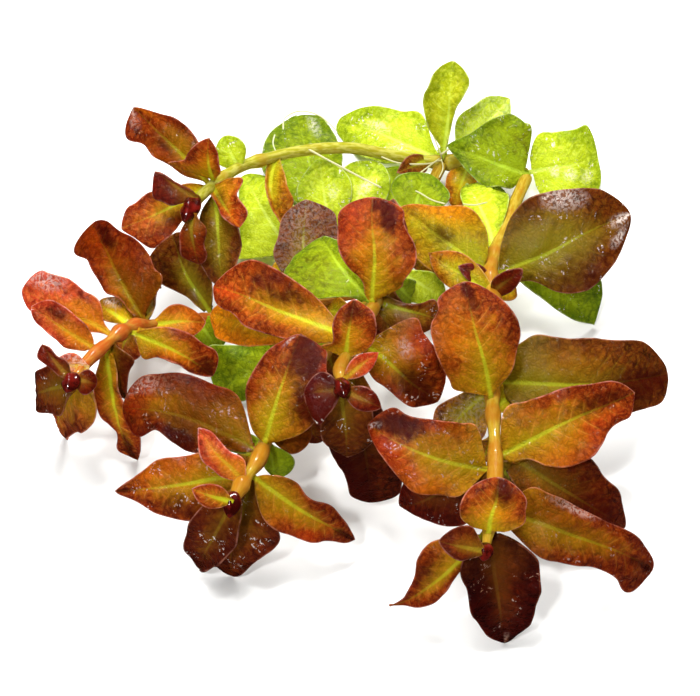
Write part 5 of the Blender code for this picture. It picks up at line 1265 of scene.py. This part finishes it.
budEnds = {name.replace("_tip", "_stem"): (place(lower), place(upper)) for name, _, lower, upper, _ in buds}
for name, finish, spots, radii, parent in stems:
    knots = [place(spot) for spot in spots]
    if name in budEnds:  # runs on into its bud
        lower, upper = budEnds[name]
        knots.append(lower + (upper - lower) * stemMake["intoBud"])
    line = smoothRoute(knots, stemMake["spacing"] * mm)
    thick = taper(radii, len(line))
    run = lengthsAlong(line) / mm
    joints = sorted({round(share * run[-1], 1) for _, stemName, share in roots if stemName == name})
    for at in joints:
        swell = stemMake["swelling"] * np.exp(-((run - at) / stemMake["swellingReach"]) ** 2)
        thick = np.maximum(thick, thick * (1 + swell))
    thick = thick * (1 + stemMake["unevenness"] * smoothNoise(len(name), run / 6, 0 * run))
    if name in budEnds:  # narrower under the bud
        toEnd = (run[-1] - run) * mm / stemMake["neckLength"]
        thick = thick * (stemMake["budNeck"] + (1 - stemMake["budNeck"]) * toEnd.clip(0, 1))
    thick = roundEnds(thick, line, stemMake["endReach"])
    addPiece(name, tubeMesh(name, line, thick, stemMake["sides"], joints), materials[finish], name)
print("stems made:", len(stems))


# buds: closed young leaves, folded over each other

budMake = {"rings": 28, "sides": 32, "folds": 4, "foldDepth": 0.13, "twist": 2.2, "taper": 0.45}


def addBud(name, lower, upper, thickness):
    start, end = place(lower), place(upper)
    length = np.linalg.norm(end - start)
    bm = bmesh.new()
    bmesh.ops.create_uvsphere(bm, u_segments=budMake["sides"], v_segments=budMake["rings"], radius=0.5)
    for vertex in bm.verts:
        angle, z = math.atan2(vertex.co.y, vertex.co.x), vertex.co.z * 2
        narrowing = 1 - budMake["taper"] * max(0, z) ** 1.5
        fold = math.sin(budMake["folds"] * angle + budMake["twist"] * z) * (1 - z * z)
        flat = thickness * mm * narrowing * (1 + budMake["foldDepth"] * fold)
        vertex.co = Vector((vertex.co.x * flat, vertex.co.y * flat, vertex.co.z * length))
    turn = Vector(end - start).to_track_quat("Z", "Y").to_matrix().to_4x4()
    bmesh.ops.transform(bm, matrix=Matrix.Translation(Vector((start + end) / 2)) @ turn, verts=bm.verts)
    for face in bm.faces:
        face.smooth = True
    mesh = bpy.data.meshes.new(name)
    bm.to_mesh(mesh)
    bm.free()
    addPiece(name, mesh, materials["bud"], name)


for name, shoot, lower, upper, thickness in buds:
    addBud(name, lower, upper, thickness)
print("buds made:", len(buds))


# fine pale roots at the back and between the stems: route in steps with heights, radius in mm

rootMake = {"spacing": 0.0005, "sides": 8, "unevenness": 0.12, "endReach": 0.0006}
waterRoots = [
    ([(442, 160, 7), (440, 152, 9), (432, 132, 11), (425, 113, 10)], 0.16),
    ([(440, 155, 9), (462, 141, 10), (485, 130, 12), (506, 122, 12)], 0.26),
    ([(442, 160, 8), (425, 164, 10), (395, 162, 12), (360, 146, 12)], 0.17),
    ([(440, 158, 9), (424, 170, 12), (408, 182, 14), (400, 187, 14)], 0.16),
    ([(441, 158, 9), (443, 168, 10), (439, 178, 11)], 0.15),
    ([(308, 149, 21), (330, 161, 20), (362, 178, 18), (382, 188, 17)], 0.2),
    ([(283, 130, 17), (285, 118, 16), (300, 111, 15), (320, 116, 15), (337, 131, 16)], 0.17),
    ([(275, 134, 18), (273, 143, 19), (276, 152, 20)], 0.15),
    ([(403, 187, 15), (418, 192, 16), (432, 200, 17), (446, 204, 18)], 0.15),
    ([(462, 204, 19), (475, 205, 20), (488, 202, 19)], 0.16),
]
for number, (route, radius) in enumerate(waterRoots, 1):
    line = smoothRoute([place(spot) for spot in route], rootMake["spacing"])
    uneven = 1 + rootMake["unevenness"] * smoothNoise(number, np.arange(len(line)) / 8, 0)
    thick = roundEnds(np.full(len(line), radius * mm) * uneven, line, rootMake["endReach"])
    name = f"water_root_{number}"
    addPiece(name, tubeMesh(name, line, thick, rootMake["sides"]), materials["root"], "", "yellow_stem")
print("roots made:", len(waterRoots))


# surface, light and camera

studio = {
    "floor": "f4f4f2",
    "floorSize": 4,
    "worldStrength": 0.22,
    "sensorWidth": 36,
    "lamps": [  # name, place, aimed at, size, power, whether it shows as a reflection
        ("backLight", (0.05, 0.75, 0.5), (0, 0, 0.02), (0.5, 0.3), 3.5, False),
        ("topLight", (-0.12, 0.25, 0.95), (0, 0, 0.02), (0.6, 0.6), 10.2, False),
        ("frontGlint", (-0.22, -0.45, 0.8), (0, 0, 0.02), (0.06, 0.06), 3.4, True),
        ("backGlint", (0.12, 0.62, 0.62), (0, 0, 0.02), (0.16, 0.06), 3.0, True),
        ("overGlint", (-0.05, 0.05, 0.85), (0, 0, 0.02), (0.08, 0.06), 2.6, True),
    ],
}
bm = bmesh.new()
bmesh.ops.create_grid(bm, x_segments=1, y_segments=1, size=studio["floorSize"])
floorMesh = bpy.data.meshes.new("floor")
bm.to_mesh(floorMesh)
bm.free()
floor = bpy.data.objects.new("floor", floorMesh)
bpy.context.scene.collection.objects.link(floor)
paint, add = newMaterial("paleFloor")
pale = linear(studio["floor"])
add("surface", add("skin", named={"Base Color": pale, "Roughness": 0.9, "Specular IOR Level": 0.1}))
floorMesh.materials.append(paint)
floor.visible_glossy = False

for name, spot, target, size, power, mirrored in studio["lamps"]:
    lamp = bpy.data.lights.new(name, "AREA")
    lamp.shape, lamp.size, lamp.size_y, lamp.energy = "RECTANGLE", size[0], size[1], power
    holder = bpy.data.objects.new(name, lamp)
    holder.location = spot
    holder.visible_glossy = mirrored
    holder.rotation_euler = (Vector(spot) - Vector(target)).to_track_quat("Z", "Y").to_euler()
    bpy.context.scene.collection.objects.link(holder)

world = bpy.data.worlds.new("studio")
world.use_nodes = True
world.node_tree.nodes["Background"].inputs["Color"].default_value = (1, 1, 1, 1)
world.node_tree.nodes["Background"].inputs["Strength"].default_value = studio["worldStrength"]
world.cycles_visibility.glossy = False  # the wet film mirrors the lamps alone
bpy.context.scene.world = world
bpy.context.scene.view_settings.view_transform = "Standard"

lens = bpy.data.cameras.new("view")
lens.sensor_width = studio["sensorWidth"]
lens.lens = studio["sensorWidth"] * layout["viewDistance"] / layout["gridWidth"]
lens.clip_start, lens.clip_end = 0.01, 20
eye = bpy.data.objects.new("view", lens)
eye.location = viewpoint
eye.rotation_euler = Vector(nearWay).to_track_quat("Z", "Y").to_euler()
bpy.context.scene.collection.objects.link(eye)
bpy.context.scene.camera = eye
print("studio ready")
